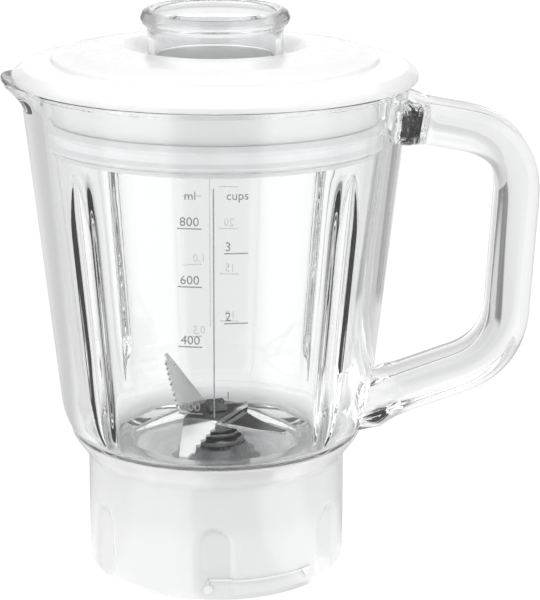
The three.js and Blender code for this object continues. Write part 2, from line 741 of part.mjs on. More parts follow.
// Open spring ring in the shaft's groove.
function circlip() {
  const inner = SHAFT_R - CIRCLIP_GROOVE + GAP;
  const clip = arcBlock(inner, CIRCLIP_R, circlipTopZ - CIRCLIP_HEIGHT, CIRCLIP_HEIGHT, 0, 290);
  return steel("circlip", clip);
}

function driveCoupling() {
  let made = solid(ring(shaftBoreR, COUPLING_R, couplingLowZ, COUPLING_HEIGHT, RING_SIDES));
  for (const azimuth of evenAzimuths(COUPLING_DOGS, 45)) {
    const low = couplingLowZ - DOG_HEIGHT;
    const dog = arcBlock(COUPLING_R - 6, COUPLING_R - 0.4, low, DOG_HEIGHT + 1, azimuth, 30);
    made = made.add(solid(dog));
  }
  return darkRubber("drive_coupling", geometryOf(made.subtract(solid(pinHole()))));
}

function knifeUnit() {
  const bushLowZ = hubLowZ + 1;
  const bushHighZ = hubTopZ - SHAFT_SEAL_HEIGHT - 2 * GAP - BUSH_LENGTH;
  const unit = new THREE.Group();
  unit.add(
    knifeCarrier(),
    gasket(),
    bearingSleeve(),
    bush("lower_bush", bushLowZ),
    bush("upper_bush", bushHighZ),
    shaftSeal(),
    sealCap(),
    bladeShaft(),
    steel("slinger_disc", ring(shaftBoreR, SLINGER_R, slingerLowZ, SLINGER_HEIGHT, SMALL_SIDES)),
    steel("blade_spacer", ring(shaftBoreR, SPACER_R, spacerLowZ, SPACER_HEIGHT, SMALL_SIDES)),
    blade("lower_blade", lowerBladeZ, RAISED_WING, LEVEL_WING),
    blade("upper_blade", upperBladeZ, FRONT_WING, REAR_WING),
    bladeNut(),
    steel(
      "thrust_washer",
      ring(shaftBoreR, WASHER_R, washerTopZ - WASHER_HEIGHT, WASHER_HEIGHT, SMALL_SIDES),
    ),
    circlip(),
    driveCoupling(),
    steel("coupling_pin", alongY(PIN_R, 2 * COUPLING_R - 1)),
  );
  return unit;
}

// ---- Lid and measuring cup -----------------------------------------------------------------------

function lid() {
  const under = LID_WALL;
  const profile = [
    [collarR, recessZ - COLLAR_LENGTH],
    [collarR + under, recessZ - COLLAR_LENGTH],
    [collarR + under, recessZ - under],
    [fillerR, crownZ - under - 1],
    [domeR - 2, domeZ - under],
    [skirtR - SEAL_GROOVE - under, lidRimTopZ],
    [skirtR - SEAL_GROOVE - under, skirtLowZ],
    [skirtR, skirtLowZ],
    [skirtR, sealLowZ - GAP],
    [skirtR - SEAL_GROOVE, sealLowZ - GAP],
    [skirtR - SEAL_GROOVE, sealHighZ + GAP],
    [skirtR, sealHighZ + GAP],
    [skirtR, lidLowZ],
    [lidR, lidLowZ],
    [lidR, lidRimTopZ],
    [lidR - 1.2, lidRimTopZ + 1.2],
    [lidR - 4, lidRimTopZ + 2.4],
    [domeR + 2.5, domeZ - 1.7],
    [domeR + 0.5, domeZ - 1.2],
    [domeR, domeZ],
    [(domeR + fillerR) / 2, (domeZ + crownZ) / 2 + 0.6],
    [fillerR, crownZ],
    [CUP_NECK_R + 1.6, recessZ],
    [collarR, recessZ],
  ];
  return whitePlastic("lid", turned(profile, RING_SIDES));
}

function lidSeal() {
  const inner = skirtR - SEAL_GROOVE + GAP;
  const wall = wallR(sealLowZ) - JUG_WALL;
  const lip = wall * Math.cos(Math.PI / RING_SIDES) - GAP;
  const body = inner + 1.4;
  const height = sealHighZ - sealLowZ;
  const profile = [
    [inner, sealLowZ],
    [body, sealLowZ],
    [lip, sealLowZ + 0.16 * height],
    [body, sealLowZ + 0.32 * height],
    [body, sealLowZ + 0.62 * height],
    [lip, sealLowZ + 0.78 * height],
    [body, sealHighZ],
    [inner, sealHighZ],
  ];
  return rubber("lid_seal", turned(profile, RING_SIDES));
}

function measuringCup() {
  const inside = CUP_NECK_R - CUP_WALL;
  const rimZ = cupTopZ - CUP_RIM_HEIGHT;
  const profile = [
    [0, cupLowZ],
    [cupPlugR - 1, cupLowZ],
    [cupPlugR, cupLowZ + 1],
    [cupPlugR, cupStepZ],
    [CUP_NECK_R, cupStepZ],
    [CUP_NECK_R, rimZ],
    [CUP_NECK_R + 1.2, rimZ + 0.8],
    [cupRimR, rimZ + 2.9],
    [cupRimR - 0.8, cupTopZ - 1.2],
    [cupRimR - 3, cupTopZ],
    [inside, cupTopZ - 0.8],
    [inside, cupStepZ],
    [inside - 1.5, cupStepZ - 2],
    [inside - 1.5, cupLowZ + CUP_WALL],
    [0, cupLowZ + CUP_WALL],
  ];
  return glass("measuring_cup", turned(profile, RING_SIDES));
}

// ---- Assembly --------------------------------------------------------------------------------------

const blenderJug = new THREE.Group();
blenderJug.add(baseRing(), glassJug(), knifeUnit(), lid(), lidSeal(), measuringCup());

// The object's frame has its origin on the floor, under the middle of the whole length.
const extent = new THREE.Box3().setFromObject(blenderJug, true);
blenderJug.position.x = -(extent.min.x + extent.max.x) / 2;

const object = new THREE.Group();
object.add(blenderJug);

export default object;
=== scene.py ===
"""Looks of the blender jug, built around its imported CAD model. Lengths in the shape code are
millimetres from the jug's own axis; pieces are stored in metres in the row frame."""

import math

import bmesh
import bpy
import numpy as np
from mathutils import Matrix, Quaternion, Vector


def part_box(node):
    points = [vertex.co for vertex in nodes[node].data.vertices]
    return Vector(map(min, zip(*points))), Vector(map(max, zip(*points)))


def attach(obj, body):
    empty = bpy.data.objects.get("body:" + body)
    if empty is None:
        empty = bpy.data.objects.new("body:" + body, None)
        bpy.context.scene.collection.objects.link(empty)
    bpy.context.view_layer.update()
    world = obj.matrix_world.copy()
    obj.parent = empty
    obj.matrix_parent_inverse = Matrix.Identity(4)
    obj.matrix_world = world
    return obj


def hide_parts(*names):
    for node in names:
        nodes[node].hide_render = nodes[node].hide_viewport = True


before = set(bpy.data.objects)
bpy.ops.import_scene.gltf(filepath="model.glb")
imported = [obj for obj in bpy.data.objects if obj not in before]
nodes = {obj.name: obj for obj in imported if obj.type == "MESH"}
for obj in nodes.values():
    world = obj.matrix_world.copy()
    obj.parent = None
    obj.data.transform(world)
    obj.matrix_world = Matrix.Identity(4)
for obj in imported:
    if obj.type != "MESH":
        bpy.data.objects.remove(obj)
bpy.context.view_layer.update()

scene = bpy.context.scene
MM = 0.001
MERGE_GAP = 2e-6
SLIVER = 1e-7
ring_low, ring_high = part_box("base_ring")
AXIS_X = (ring_low.x + ring_high.x) / 2


# ---- Shape helpers ----


def add_object(name, data):
    obj = bpy.data.objects.new(name, data)
    scene.collection.objects.link(obj)
    return obj


def finish_mesh(mesh, sharp):
    """Merges coincident points, turns faces outwards and smooths them up to an angle."""
    work = bmesh.new()
    work.from_mesh(mesh)
    bmesh.ops.remove_doubles(work, verts=work.verts, dist=MERGE_GAP)
    bmesh.ops.dissolve_degenerate(work, edges=work.edges, dist=SLIVER)
    bmesh.ops.recalc_face_normals(work, faces=work.faces)
    work.to_mesh(mesh)
    work.free()
    smooth(mesh, sharp)


def smooth(mesh, sharp):
    mesh.shade_smooth()
    mesh.set_sharp_from_angle(angle=math.radians(sharp))


def made(name, points, faces, sharp=32):
    """An object from points in millimetres round the jug's axis."""
    co = np.asarray(points, float).reshape(-1, 3) * MM
    co[:, 0] += AXIS_X
    mesh = bpy.data.meshes.new(name)
    mesh.from_pydata(co.tolist(), [], faces)
    finish_mesh(mesh, sharp)
    return add_object(name, mesh)


def grid_faces(rows, columns, wrap_rows, wrap_columns):
    """Quads between the points of a grid, whose rows or columns may close into loops."""
    i = np.arange(rows if wrap_rows else rows - 1)
    j = np.arange(columns if wrap_columns else columns - 1)
    a, b = np.meshgrid(i, j, indexing="ij")
    a2, b2 = (a + 1) % rows, (b + 1) % columns
    quads = [a * columns + b, a2 * columns + b, a2 * columns + b2, a * columns + b2]
    return np.stack(quads, -1).reshape(-1, 4).tolist()


def tube_faces(rings, sides):
    """Faces of a row of closed rings, with a cap at both ends."""
    first, last = list(range(sides)), [(rings - 1) * sides + k for k in range(sides)]
    return grid_faces(rings, sides, False, True) + [first, last]


def swept(turn, r, z):
    """Points at radii and heights, turned by angles in radians."""
    return np.stack([r * np.cos(turn), r * np.sin(turn), z], -1)


def turned(name, profile, sides, sharp):
    """A profile of [radius, height] points turned round the axis. It is closed unless it starts
    on the axis."""
    line = np.asarray(profile, float)
    turns = np.linspace(0, 2 * math.pi, sides, endpoint=False)
    turn, r = np.meshgrid(turns, line[:, 0], indexing="ij")
    points = swept(turn, r, np.broadcast_to(line[:, 1], r.shape))
    return made(name, points, grid_faces(*r.shape, True, profile[0][0] > 0), sharp)


def fillet(points, radius, steps=5, closed=True):
    """A polyline with each corner rounded. A point may carry its own radius as a third number."""
    count, line = len(points), []
    for i, point in enumerate(points):
        at = Vector(point[:2])
        r = point[2] if len(point) > 2 else radius
        if r <= 0 or (not closed and i in (0, count - 1)):
            line.append(list(at))
            continue
        back = Vector(points[i - 1][:2]) - at
        ahead = Vector(points[(i + 1) % count][:2]) - at
        if back.length < 1e-6 or ahead.length < 1e-6:
            line.append(list(at))
            continue
        opening = back.angle(ahead)
        reach = min(r / max(math.tan(opening / 2), 1e-6), 0.48 * back.length, 0.48 * ahead.length)
        start, end = at + back.normalized() * reach, at + ahead.normalized() * reach
        for k in range(steps + 1):
            t = k / steps
            line.append(list(start * (1 - t) ** 2 + at * (2 * t * (1 - t)) + end * t * t))
    return line


def through(points, step):
    """A smooth curve through points, stepped evenly."""
    p = np.asarray(points, float)
    p = np.vstack([2 * p[0] - p[1], p, 2 * p[-1] - p[-2]])
    out = []
    for a, b, c, d in zip(p, p[1:], p[2:], p[3:]):
        n = max(2, int(math.dist(b, c) / step))
        for t in np.arange(n) / n:
            out.append(0.5 * (2 * b + (c - a) * t + (2 * a - 5 * b + 4 * c - d) * t**2
                              + (3 * b - a - 3 * c + d) * t**3))
    out.append(p[-2])
    return np.array(out)


def dense(points, step):
    """A polyline with extra points on its long edges."""
    out = []
    for a, b in zip(points, points[1:]):
        n = max(1, math.ceil(math.dist(a, b) / step))
        out += [[a[k] + (b[k] - a[k]) * i / n for k in range(len(a))] for i in range(n)]
    return out + [list(points[-1])]


def step_up(value, low, high):
    """A smooth rise from 0 at low to 1 at high."""
    t = np.clip((np.asarray(value, float) - low) / (high - low), 0, 1)
    return t * t * (3 - 2 * t)


def round_edges(obj, width, angle):
    """A bevel, in millimetres, on edges sharper than an angle in degrees."""
    bevel = obj.modifiers.new("edges", "BEVEL")
    bevel.width = width * MM
    bevel.segments = 2
    bevel.limit_method = "ANGLE"
    bevel.angle_limit = math.radians(angle)


def evaluated_mesh(obj):
    """The mesh that an object's modifiers or curve give."""
    bpy.context.view_layer.update()
    graph = bpy.context.evaluated_depsgraph_get()
    return bpy.data.meshes.new_from_object(obj.evaluated_get(graph))


def joined(obj, others, sharp):
    """Unites other closed meshes with an object's own, and removes them."""
    for other in others:
        cut = obj.modifiers.new("join", "BOOLEAN")
        cut.operation = "UNION"
        cut.solver = "MANIFOLD"
        cut.object = other
    obj.data = evaluated_mesh(obj)
    obj.modifiers.clear()
    for other in others:
        bpy.data.objects.remove(other)
    finish_mesh(obj.data, sharp)
    return obj


# ---- Materials ----


def new_material(name, color, roughness, **sockets):
    material = bpy.data.materials.new(name)
    material.use_nodes = True
    shader = material.node_tree.nodes["Principled BSDF"]
    shader.inputs["Base Color"].default_value = (*color, 1)
    shader.inputs["Roughness"].default_value = roughness
    for socket, value in sockets.items():
        shader.inputs[socket.replace("_", " ")].default_value = value
    return material, shader


def node(material, kind, links=(), **values):
    """A node with values set by attribute or socket name, and links into its sockets."""
    n = material.node_tree.nodes.new("ShaderNode" + kind)
    for key, value in values.items():
        if hasattr(n, key):
            setattr(n, key, value)
        else:
            n.inputs[key.replace("_", " ")].default_value = value
    for socket, source in links:
        material.node_tree.links.new(source, n.inputs[socket])
    return n


def place(material, scale=(1, 1, 1)):
    """Object coordinates, scaled."""
    at = node(material, "TexCoord").outputs["Object"]
    return node(material, "Mapping", [("Vector", at)], Scale=scale).outputs["Vector"]


def noise(material, scale, detail=3.0, stretch=(1, 1, 1), rough=0.5):
    n = node(material, "TexNoise", [("Vector", place(material, stretch))],
             Scale=scale, Detail=detail, Roughness=rough)
    return n.outputs["Fac"]


def spread(material, fac, low, high):
    """A noise factor mapped to a range of values."""
    return node(material, "MapRange", [("Value", fac)], From_Min=0.3, From_Max=0.7,
                To_Min=low, To_Max=high).outputs["Result"]


def fade(material, value, start, end):
    """A share that goes smoothly from 0 to 1 as a value goes from start to end."""
    return node(material, "MapRange", [("Value", value)], From_Min=start, From_Max=end,
                interpolation_type="SMOOTHSTEP").outputs["Result"]


def mixed(material, share, first, second):
    """Colour first where a share is 0, and second, a node's output or a grey, where it is 1."""
    n = node(material, "Mix", [("Factor", share)], data_type="RGBA")
    material.node_tree.links.new(first, n.inputs["A"])
    if isinstance(second, float):
        n.inputs["B"].default_value = (second, second, second, 1)
    else:
        material.node_tree.links.new(second, n.inputs["B"])
    return n.outputs["Result"]


def tint(material, fac, stops):
    """A factor mapped to colours: (factor, colour) stops."""
    n = node(material, "ValToRGB", [("Fac", fac)])
    ramp = n.color_ramp
    ramp.elements[0].position, ramp.elements[0].color = stops[0][0], (*stops[0][1], 1)
    ramp.elements[1].position, ramp.elements[1].color = stops[-1][0], (*stops[-1][1], 1)
    for position, color in stops[1:-1]:
        ramp.elements.new(position).color = (*color, 1)
    return n.outputs["Color"]


def link(material, source, shader, socket):
    material.node_tree.links.new(source, shader.inputs[socket])


def two_tone(material, shader, fac, dark, light):
    """Base colour that drifts between two tones with a noise factor."""
    link(material, tint(material, fac, [(0.35, dark), (0.65, light)]), shader, "Base Color")


def bump(material, shader, heights):
    """Bump from (height factor, strength, distance in metres), one over the other."""
    normal = None
    for height, strength, distance in heights:
        links = [("Height", height)] + ([("Normal", normal)] if normal else [])
        n = node(material, "Bump", links, Strength=strength, Distance=distance)
        normal = n.outputs["Normal"]
    link(material, normal, shader, "Normal")


def glass_material(name, color, ior, waviness):
    """Clear pressed glass or plastic: slow waves from the mould, a few finer ones, faint dust."""
    material, shader = new_material(name, color, 0.0, IOR=ior, Transmission_Weight=1.0)
    slow = noise(material, 28, 1.0, (1, 1, 0.45))
    fine = noise(material, 210, 2.0)
    bump(material, shader, [(slow, waviness, 0.002), (fine, waviness * 0.35, 0.0003)])
    film = spread(material, noise(material, 60, 4.0), 0.0, 0.02)
    link(material, film, shader, "Roughness")
    return material


def white_plastic_material(name, glow, depth, dark, light):
    """Glossy moulded white plastic; glow is how much light spreads inside it, over depth metres."""
    material, shader = new_material(
        name, light, 0.2, IOR=1.5, Coat_Weight=0.7, Coat_Roughness=0.06,
        Subsurface_Weight=glow, Subsurface_Scale=depth)
    shader.inputs["Subsurface Radius"].default_value = (1.0, 1.0, 1.0)
    cloud = noise(material, 45, 4.0)
    link(material, tint(material, cloud, [(0.3, dark), (0.7, light)]), shader, "Base Color")
    link(material, spread(material, noise(material, 320, 3.0), 0.17, 0.27), shader, "Roughness")
    bump(material, shader, [(noise(material, 2400, 2.0), 0.06, 0.00008), (cloud, 0.05, 0.0004)])
    return material


def rubber_material(name, dark, light, roughness, grain):
    material, shader = new_material(name, light, roughness, Sheen_Weight=0.15, Sheen_Roughness=0.5)
    cloud = noise(material, 120, 4.0)
    two_tone(material, shader, cloud, dark, light)
    link(material, spread(material, cloud, roughness - 0.08, roughness + 0.08), shader, "Roughness")
    bump(material, shader, [(noise(material, 1800, 3.0), grain, 0.0001)])
    return material


def moulded_material(name, dark, light, roughness):
    """Spark-eroded plastic: fine even grain over slight flow marks."""
    material, shader = new_material(name, light, roughness, Coat_Weight=0.05)
    flow = noise(material, 55, 3.0, (1, 1, 3))
    two_tone(material, shader, flow, dark, light)
    link(material, spread(material, noise(material, 900, 2.0), roughness - 0.07, roughness + 0.07),
         shader, "Roughness")
    bump(material, shader, [(noise(material, 2600, 2.0), 0.2, 0.00012), (flow, 0.05, 0.0003)])
    return material


def from_axis(material):
    """Distance from the jug's axis, and the point in the half plane of the axis."""
    parts = node(material, "SeparateXYZ", [("Vector", place(material))]).outputs
    off = node(material, "Math", [(0, parts["X"])], operation="SUBTRACT")
    off.inputs[1].default_value = AXIS_X
    flat = node(material, "CombineXYZ", [("X", off.outputs[0]), ("Y", parts["Y"])])
    radius = node(material, "VectorMath", [("Vector", flat.outputs[0])],
                  operation="LENGTH").outputs["Value"]
    seat = node(material, "CombineXYZ", [("X", radius), ("Z", parts["Z"])]).outputs[0]
    return radius, seat


CONE_EDGE_R = (15.6, 16.2)


def carrier_material():
    """A grey cone in a pale dish. The dish's pale grey is painted light, raised to make up for the
    shade it lies in under the glass.
    """
    material, shader = new_material("carrier_plastic", (0.2, 0.2, 0.2), 0.25, Coat_Weight=0.3,
                                    Coat_Roughness=0.1)
    radius, _ = from_axis(material)
    flow = noise(material, 55, 3.0, (1, 1, 3))
    cone = tint(material, flow, [(0.35, (0.19, 0.195, 0.2)), (0.65, (0.235, 0.24, 0.245))])
    # painted light: the dish is painted pale against the shade it lies in
    painted_light_dish = tint(material, flow, [(0.35, (0.8, 0.805, 0.81)), (0.65, (0.86, 0.865, 0.87))])
    share = fade(material, radius, CONE_EDGE_R[0] * MM, CONE_EDGE_R[1] * MM)
    link(material, mixed(material, share, cone, painted_light_dish), shader, "Base Color")
    link(material, spread(material, noise(material, 900, 2.0), 0.18, 0.32), shader, "Roughness")
    bump(material, shader, [(noise(material, 2600, 2.0), 0.15, 0.0001), (flow, 0.05, 0.0003)])
    return material


def turned_steel_material(name, dark, light, roughness):
    """Steel with fine marks round the axis, from the lathe."""
    material, shader = new_material(name, light, roughness, Metallic=1.0)
    _, seat = from_axis(material)
    marks = node(material, "TexNoise", [("Vector", seat)], Scale=2600.0, Detail=2.0)
    marks = marks.outputs["Fac"]
    cloud = noise(material, 90, 3.0)
    two_tone(material, shader, cloud, dark, light)
    link(material, spread(material, marks, roughness - 0.06, roughness + 0.1), shader, "Roughness")
    bump(material, shader, [(marks, 0.12, 0.00005)])
    return material


# Sheet edges, where a face's normal lies near level, are painted near-white: a painted highlight.
EDGE_HIGHLIGHT_Z = (0.45, 0.2)  # a normal's height on a sheet's face, and on its cut edge
EDGE_HIGHLIGHT_GREY = 0.95


def blade_steel_material(name, shaded_sheet_grey, lit_wing_grey, axis, lit_wing_range):
    """Brushed sheet steel with faint wipe marks. Its sheet is painted dark grey, a painted shade,
    and its cut edges near-white, a painted highlight. Past a range in metres along an axis, the
    last argument,
    the wing is painted brighter: a painted reflection."""
    material, shader = new_material(name, (shaded_sheet_grey,) * 3, 0.12, Metallic=1.0)
    grain = noise(material, 90, 4.0, (2, 40, 8), 0.6)
    wipe = noise(material, 70, 4.0)
    # painted shade: the sheet's steel is painted dark grey
    color = tint(material, wipe, [(0.3, (shaded_sheet_grey * 0.93,) * 3), (0.7, (shaded_sheet_grey * 1.07,) * 3)])
    # painted reflection: past a range along an axis the wing is painted lighter
    painted_lit_wing = tint(material, wipe, [(0.3, (lit_wing_grey * 0.95,) * 3), (0.7, (lit_wing_grey,) * 3)])
    along = node(material, "SeparateXYZ", [("Vector", place(material))]).outputs[axis]
    sheet = mixed(material, fade(material, along, *lit_wing_range), color, painted_lit_wing)
    normal = node(material, "TexCoord").outputs["Normal"]
    upright = node(material, "SeparateXYZ", [("Vector", normal)]).outputs["Z"]
    upright = node(material, "Math", [(0, upright)], operation="ABSOLUTE").outputs[0]
    # painted highlight: the cut edges are painted near-white
    cut = mixed(material, fade(material, upright, *EDGE_HIGHLIGHT_Z), sheet, EDGE_HIGHLIGHT_GREY)
    link(material, cut, shader, "Base Color")
    link(material, spread(material, wipe, 0.08, 0.18), shader, "Roughness")
    bump(material, shader, [(grain, 0.08, 0.00006)])
    return material


def bronze_material():
    """Porous sintered bronze with oil in its pores."""
    material, shader = new_material("sintered_bronze", (0.45, 0.33, 0.16), 0.42, Metallic=1.0)
    pores = node(material, "TexVoronoi", [("Vector", place(material))], Scale=2600.0)
    pores = pores.outputs["Distance"]
    link(material, tint(material, pores, [(0.05, (0.12, 0.08, 0.04)), (0.35, (0.5, 0.36, 0.18))]),
         shader, "Base Color")
    link(material, spread(material, noise(material, 300, 2.0), 0.3, 0.5), shader, "Roughness")
    bump(material, shader, [(pores, 0.35, 0.0001)])
    return material


clear_glass = glass_material("clear_glass", (0.985, 0.99, 0.99), 1.5, 0.05)
clear_plastic = glass_material("clear_plastic", (0.87, 0.875, 0.88), 1.49, 0.03)
white_plastic = white_plastic_material(
    "white_plastic", 1.0, 0.02, (0.9, 0.905, 0.91), (0.925, 0.928, 0.93))
base_plastic = white_plastic_material(
    "base_plastic", 1.0, 0.0035, (0.86, 0.865, 0.87), (0.885, 0.89, 0.895))
# The lock mark is painted whiter than the base it is raised on: painted light that makes the mark
# stand out.
lit_mark_plastic = white_plastic_material(
    "lit_mark_plastic", 0.2, 0.001, (0.96, 0.965, 0.97), (0.98, 0.985, 0.99))
pale_rubber = rubber_material(
    "pale_rubber", (0.86, 0.865, 0.87), (0.9, 0.905, 0.91), 0.45, 0.12)
dark_rubber = rubber_material(
    "dark_rubber", (0.02, 0.02, 0.022), (0.05, 0.05, 0.055), 0.6, 0.25)
grey_plastic = carrier_material()
black_plastic = moulded_material(
    "black_plastic", (0.02, 0.02, 0.022), (0.045, 0.045, 0.05), 0.45)
# Plain steel is painted dark grey: painted shade, for the dark that the turned parts inside the jug
# show.
plain_steel = turned_steel_material(
    "plain_steel", (0.2, 0.2, 0.205), (0.26, 0.26, 0.265), 0.22)
# Lower blade: dark grey sheet as painted shade, its raised wing painted a lighter grey as a painted
# reflection. Upper blade: its front wing painted near-white as a painted reflection.
lower_steel = blade_steel_material("lower_blade_steel", 0.16, 0.36, "Z", (0.0538, 0.0548))
upper_steel = blade_steel_material("upper_blade_steel", 0.17, 0.98, "Y", (-0.0098, -0.011))
sintered_bronze = bronze_material()


def dress(obj, material, slot, body, *replaced):
    """Gives a new piece its material, its body and the nodes it stands for. slot, its record slot,
    is not used.
    """
    obj.data.materials.clear()
    obj.data.materials.append(material)
    if replaced:
        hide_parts(*replaced)
    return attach(obj, body)


# ---- Glass jug ----

RIM_Z = 172.0
RIM_CURVE_Z = 170.4
RIM_CREST = 2.5
FOOT_Z = 59.0
FOOT_R = 53.9
SLOPE = (66.1 - FOOT_R) / (RIM_Z - FOOT_Z)
WALL = 6.0
NECK_FOOT_Z = 31.0
NECK_R = 38
NECK_BORE_R = 29
SPOUT_REACH = 6.5
SPOUT_RISE = 1.4
SPOUT_HALF = 27.0
SPOUT_FROM_Z, SPOUT_FULL_Z = 163.5, 170.5
SPOUT_LIP = 1.5
SPOUT_LIFTED_FROM_Z = RIM_Z - 2
FLUTE_LOW_Z, FLUTE_HIGH_Z = 52.5, 148.5
FLUTE_HALF = 4.4  # degrees
FLUTE_DEPTH = 1.6
FLUTE_ENDS = (0.16, 0.2)  # tapered shares, below and above
FLUTE_BULGE, FLUTE_BULGE_HALF = 1.5, 3.3
FLUTE_AZIMUTHS = (45, 135, 225, 315)
FLUTE_COLUMNS = (7, 0.28)  # closer points: degrees off, and step
COLUMN_GAP = 0.12
LUG_AZIMUTHS = (90, 210, 330)
LUG_SPAN = 24
HANDLE_CORNERS = [(60.4, 159.8), (104.1, 152.1, 22.7), (100.2, 75.8, 26.0), (50.0, 57.5)]
HANDLE_HALF_WIDTH = 12
HANDLE_HALF_THICKNESS = 7.15
HANDLE_ROUND = 4.6
HANDLE_MIDDLE_Z = 110
HANDLE_SUNK = 0.5
TOP_ROOT = (8.2, 9, 0.4)  # the handle's extra half width at the wall, its reach, extra thickness
LOW_ROOT = (3.0, 12, 1.0)
SWELL_REACH = 10


def wall_r(z):
    """Outer radius of the straight wall."""
    return FOOT_R + SLOPE * (np.asarray(z, float) - FOOT_Z)


def flute_off(azimuth):
    """Degrees from the middle of the nearest flute."""
    return np.abs(np.mod(azimuth, 90.0) - 45.0)


def flute_share(z):
    """Width of a flute along its length, as a share of its full width."""
    t = np.clip((z - FLUTE_LOW_Z) / (FLUTE_HIGH_Z - FLUTE_LOW_Z), 0, 1)
    below, above = FLUTE_ENDS
    return np.clip(t / below, 0, 1) ** 0.6 * np.clip((1 - t) / above, 0, 1) ** 0.6


def spout_share(azimuth, z):
    """How much of the spout's full reach a point of the rim has."""
    off = np.abs(azimuth - 180.0) / SPOUT_HALF
    across = np.where(off < 1, np.cos(np.minimum(off, 1) * math.pi) / 2 + 0.5, 0)
    lift = np.clip((z - SPOUT_FROM_Z) / (SPOUT_FULL_Z - SPOUT_FROM_Z), 0, 1)
    return across * lift**1.4


def wall_line(from_z, inset):
    """The straight wall, with close rows at the flutes' tops and at the spout."""
    rows = np.concatenate([np.arange(from_z, 136, 2.4), np.arange(136.0, 150, 1.0),
                           np.arange(150.0, 163, 2.0), np.arange(163.0, 171, 0.6)])
    return [[float(wall_r(z)) - inset, z] for z in rows]


def jug_outer():
    """Outer profile from the neck's foot up."""
    bowl = through([(NECK_R, 42), (43.57, 43.5), (48.3, 47.3), (51.6, 52.2), (53.4, 57),
                    (54.1, 61.0)], 0.8)
    neck = [[NECK_R, NECK_FOOT_Z], [NECK_R, 36], [NECK_R, 41]]
    return neck + bowl.tolist() + wall_line(63.0, 0)


def jug_inner():
    """Inner profile from the neck's foot up."""
    neck = [[NECK_BORE_R, NECK_FOOT_Z], [NECK_BORE_R, 38]]
    edge = fillet([(NECK_BORE_R, 44.5), (29.2, 46.5), (36, 47.2)], 1.4, 5, False)
    bowl = through([(36, 47.2), (41.4, 48.6), (45.1, 50.9), (47.3, 55.2), (48.3, 60.5),
                    (48.76, 66)], 0.8)
    return neck + edge + bowl.tolist()[1:] + wall_line(68.4, WALL)


def jug_body():
    """The jug without handle and lugs: its profile turned, with flutes and spout pressed in."""
    outer, inner = jug_outer(), jug_inner()
    top_r, curve_r = float(wall_r(RIM_Z)), float(wall_r(RIM_CURVE_Z))
    rim = fillet([(curve_r, RIM_CURVE_Z), (top_r, RIM_Z, 1.1), (top_r - RIM_CREST, RIM_Z, 0),
                  (top_r - WALL, RIM_Z, 1.3), (curve_r - WALL, RIM_CURVE_Z)], 1.3, 6, False)
    line = np.array(outer + rim + inner[::-1])
    side = np.array([1.0] * len(outer) + [0.5] * len(rim) + [0.0] * len(inner))
    side_way, step = FLUTE_COLUMNS
    azimuths = [np.arange(0, 360, 1.0)]
    azimuths += [np.arange(a - side_way, a + side_way, step) for a in FLUTE_AZIMUTHS]
    azimuths = np.unique(np.round(np.concatenate(azimuths), 3))
    azimuths = azimuths[np.concatenate([[True], np.diff(azimuths) > COLUMN_GAP])]
    az, r = np.meshgrid(azimuths, line[:, 0], indexing="ij")
    z = np.broadcast_to(line[:, 1], az.shape).copy()
    outside = np.broadcast_to(side, az.shape)
    off = flute_off(az)
    half = FLUTE_HALF * flute_share(z)
    groove = FLUTE_DEPTH * np.clip(1 - (off / np.maximum(half, 0.01)) ** 2, 0, 1) ** 0.9
    groove *= np.clip(half / FLUTE_HALF, 0, 1) * (half > 0.05)
    bulge = FLUTE_BULGE * np.exp(-((off / FLUTE_BULGE_HALF) ** 2)) * flute_share(z)
    r = r - np.where(outside > 0.7, groove, np.where(outside < 0.3, bulge, 0))
    share = spout_share(az, z)
    across = np.clip((r - (top_r - RIM_CREST)) / SPOUT_LIP, 0, 1)
    r = r + SPOUT_REACH * share
    z = z + np.where(z > SPOUT_LIFTED_FROM_Z, SPOUT_RISE * share**2 * across, 0)
    faces = grid_faces(*az.shape, True, True)
    return made("glass_jug_body", swept(np.radians(az), r, z), faces, 40)


def handle_path():
    """Centre line of the handle in the plane of the handle: points of [x, z]."""
    line = fillet(HANDLE_CORNERS, 1, 12, False)
    line = [a for a, b in zip(line, line[1:]) if math.dist(a, b) > 0.01] + [line[-1]]
    return dense(line, 1.6)


def rounded_section(half_w, half_t, r, steps=6):
    """Outline of a rectangle with rounded corners."""
    corners = [(half_w, -half_t), (half_w, half_t), (-half_w, half_t), (-half_w, -half_t)]
    line = []
    for k, (x, y) in enumerate(corners):
        cx, cy = x - math.copysign(r, x), y - math.copysign(r, y)
        first = -90 + 90 * k
        for i in range(steps + 1):
            a = math.radians(first + 90 * i / steps)
            line.append((cx + r * math.cos(a), cy + r * math.sin(a)))
    return line


def handle():
    """The handle as rounded sections along its path, which spread where they meet the wall."""
    path = np.array(handle_path())
    step = np.linalg.norm(np.diff(path, axis=0), axis=1)
    run = np.concatenate([[0], np.cumsum(step)])
    tangent = np.gradient(path, run, axis=0)
    tangent /= np.linalg.norm(tangent, axis=1)[:, None]
    rings = []
    for (x, z), (tx, tz) in zip(path, tangent):
        clear = max(x - float(wall_r(z)), 0)
        flare, reach, swell = TOP_ROOT if z > HANDLE_MIDDLE_Z else LOW_ROOT
        flare *= max(0.0, 1 - clear / reach) ** 2.2
        swell *= max(0.0, 1 - clear / SWELL_REACH) ** 2
        section = rounded_section(HANDLE_HALF_WIDTH + flare, HANDLE_HALF_THICKNESS + swell,
                                  HANDLE_ROUND)
        rings.append([[x - tz * t, w, z + tx * t] for w, t in section])
    rings = np.array(rings)
    for end in (0, -1):
        middle = wall_r(rings[end, :, 2]) - WALL / 2
        rings[end, :, 0] = np.sqrt(np.maximum(middle**2 - rings[end, :, 1] ** 2, 1))
    inside = [i for i in range(1, len(path) - 1)
              if path[i][0] < float(wall_r(path[i][1])) + HANDLE_SUNK]
    rings = np.delete(rings, inside, axis=0)
    return made("handle", rings, tube_faces(*rings.shape[:2]), 50)


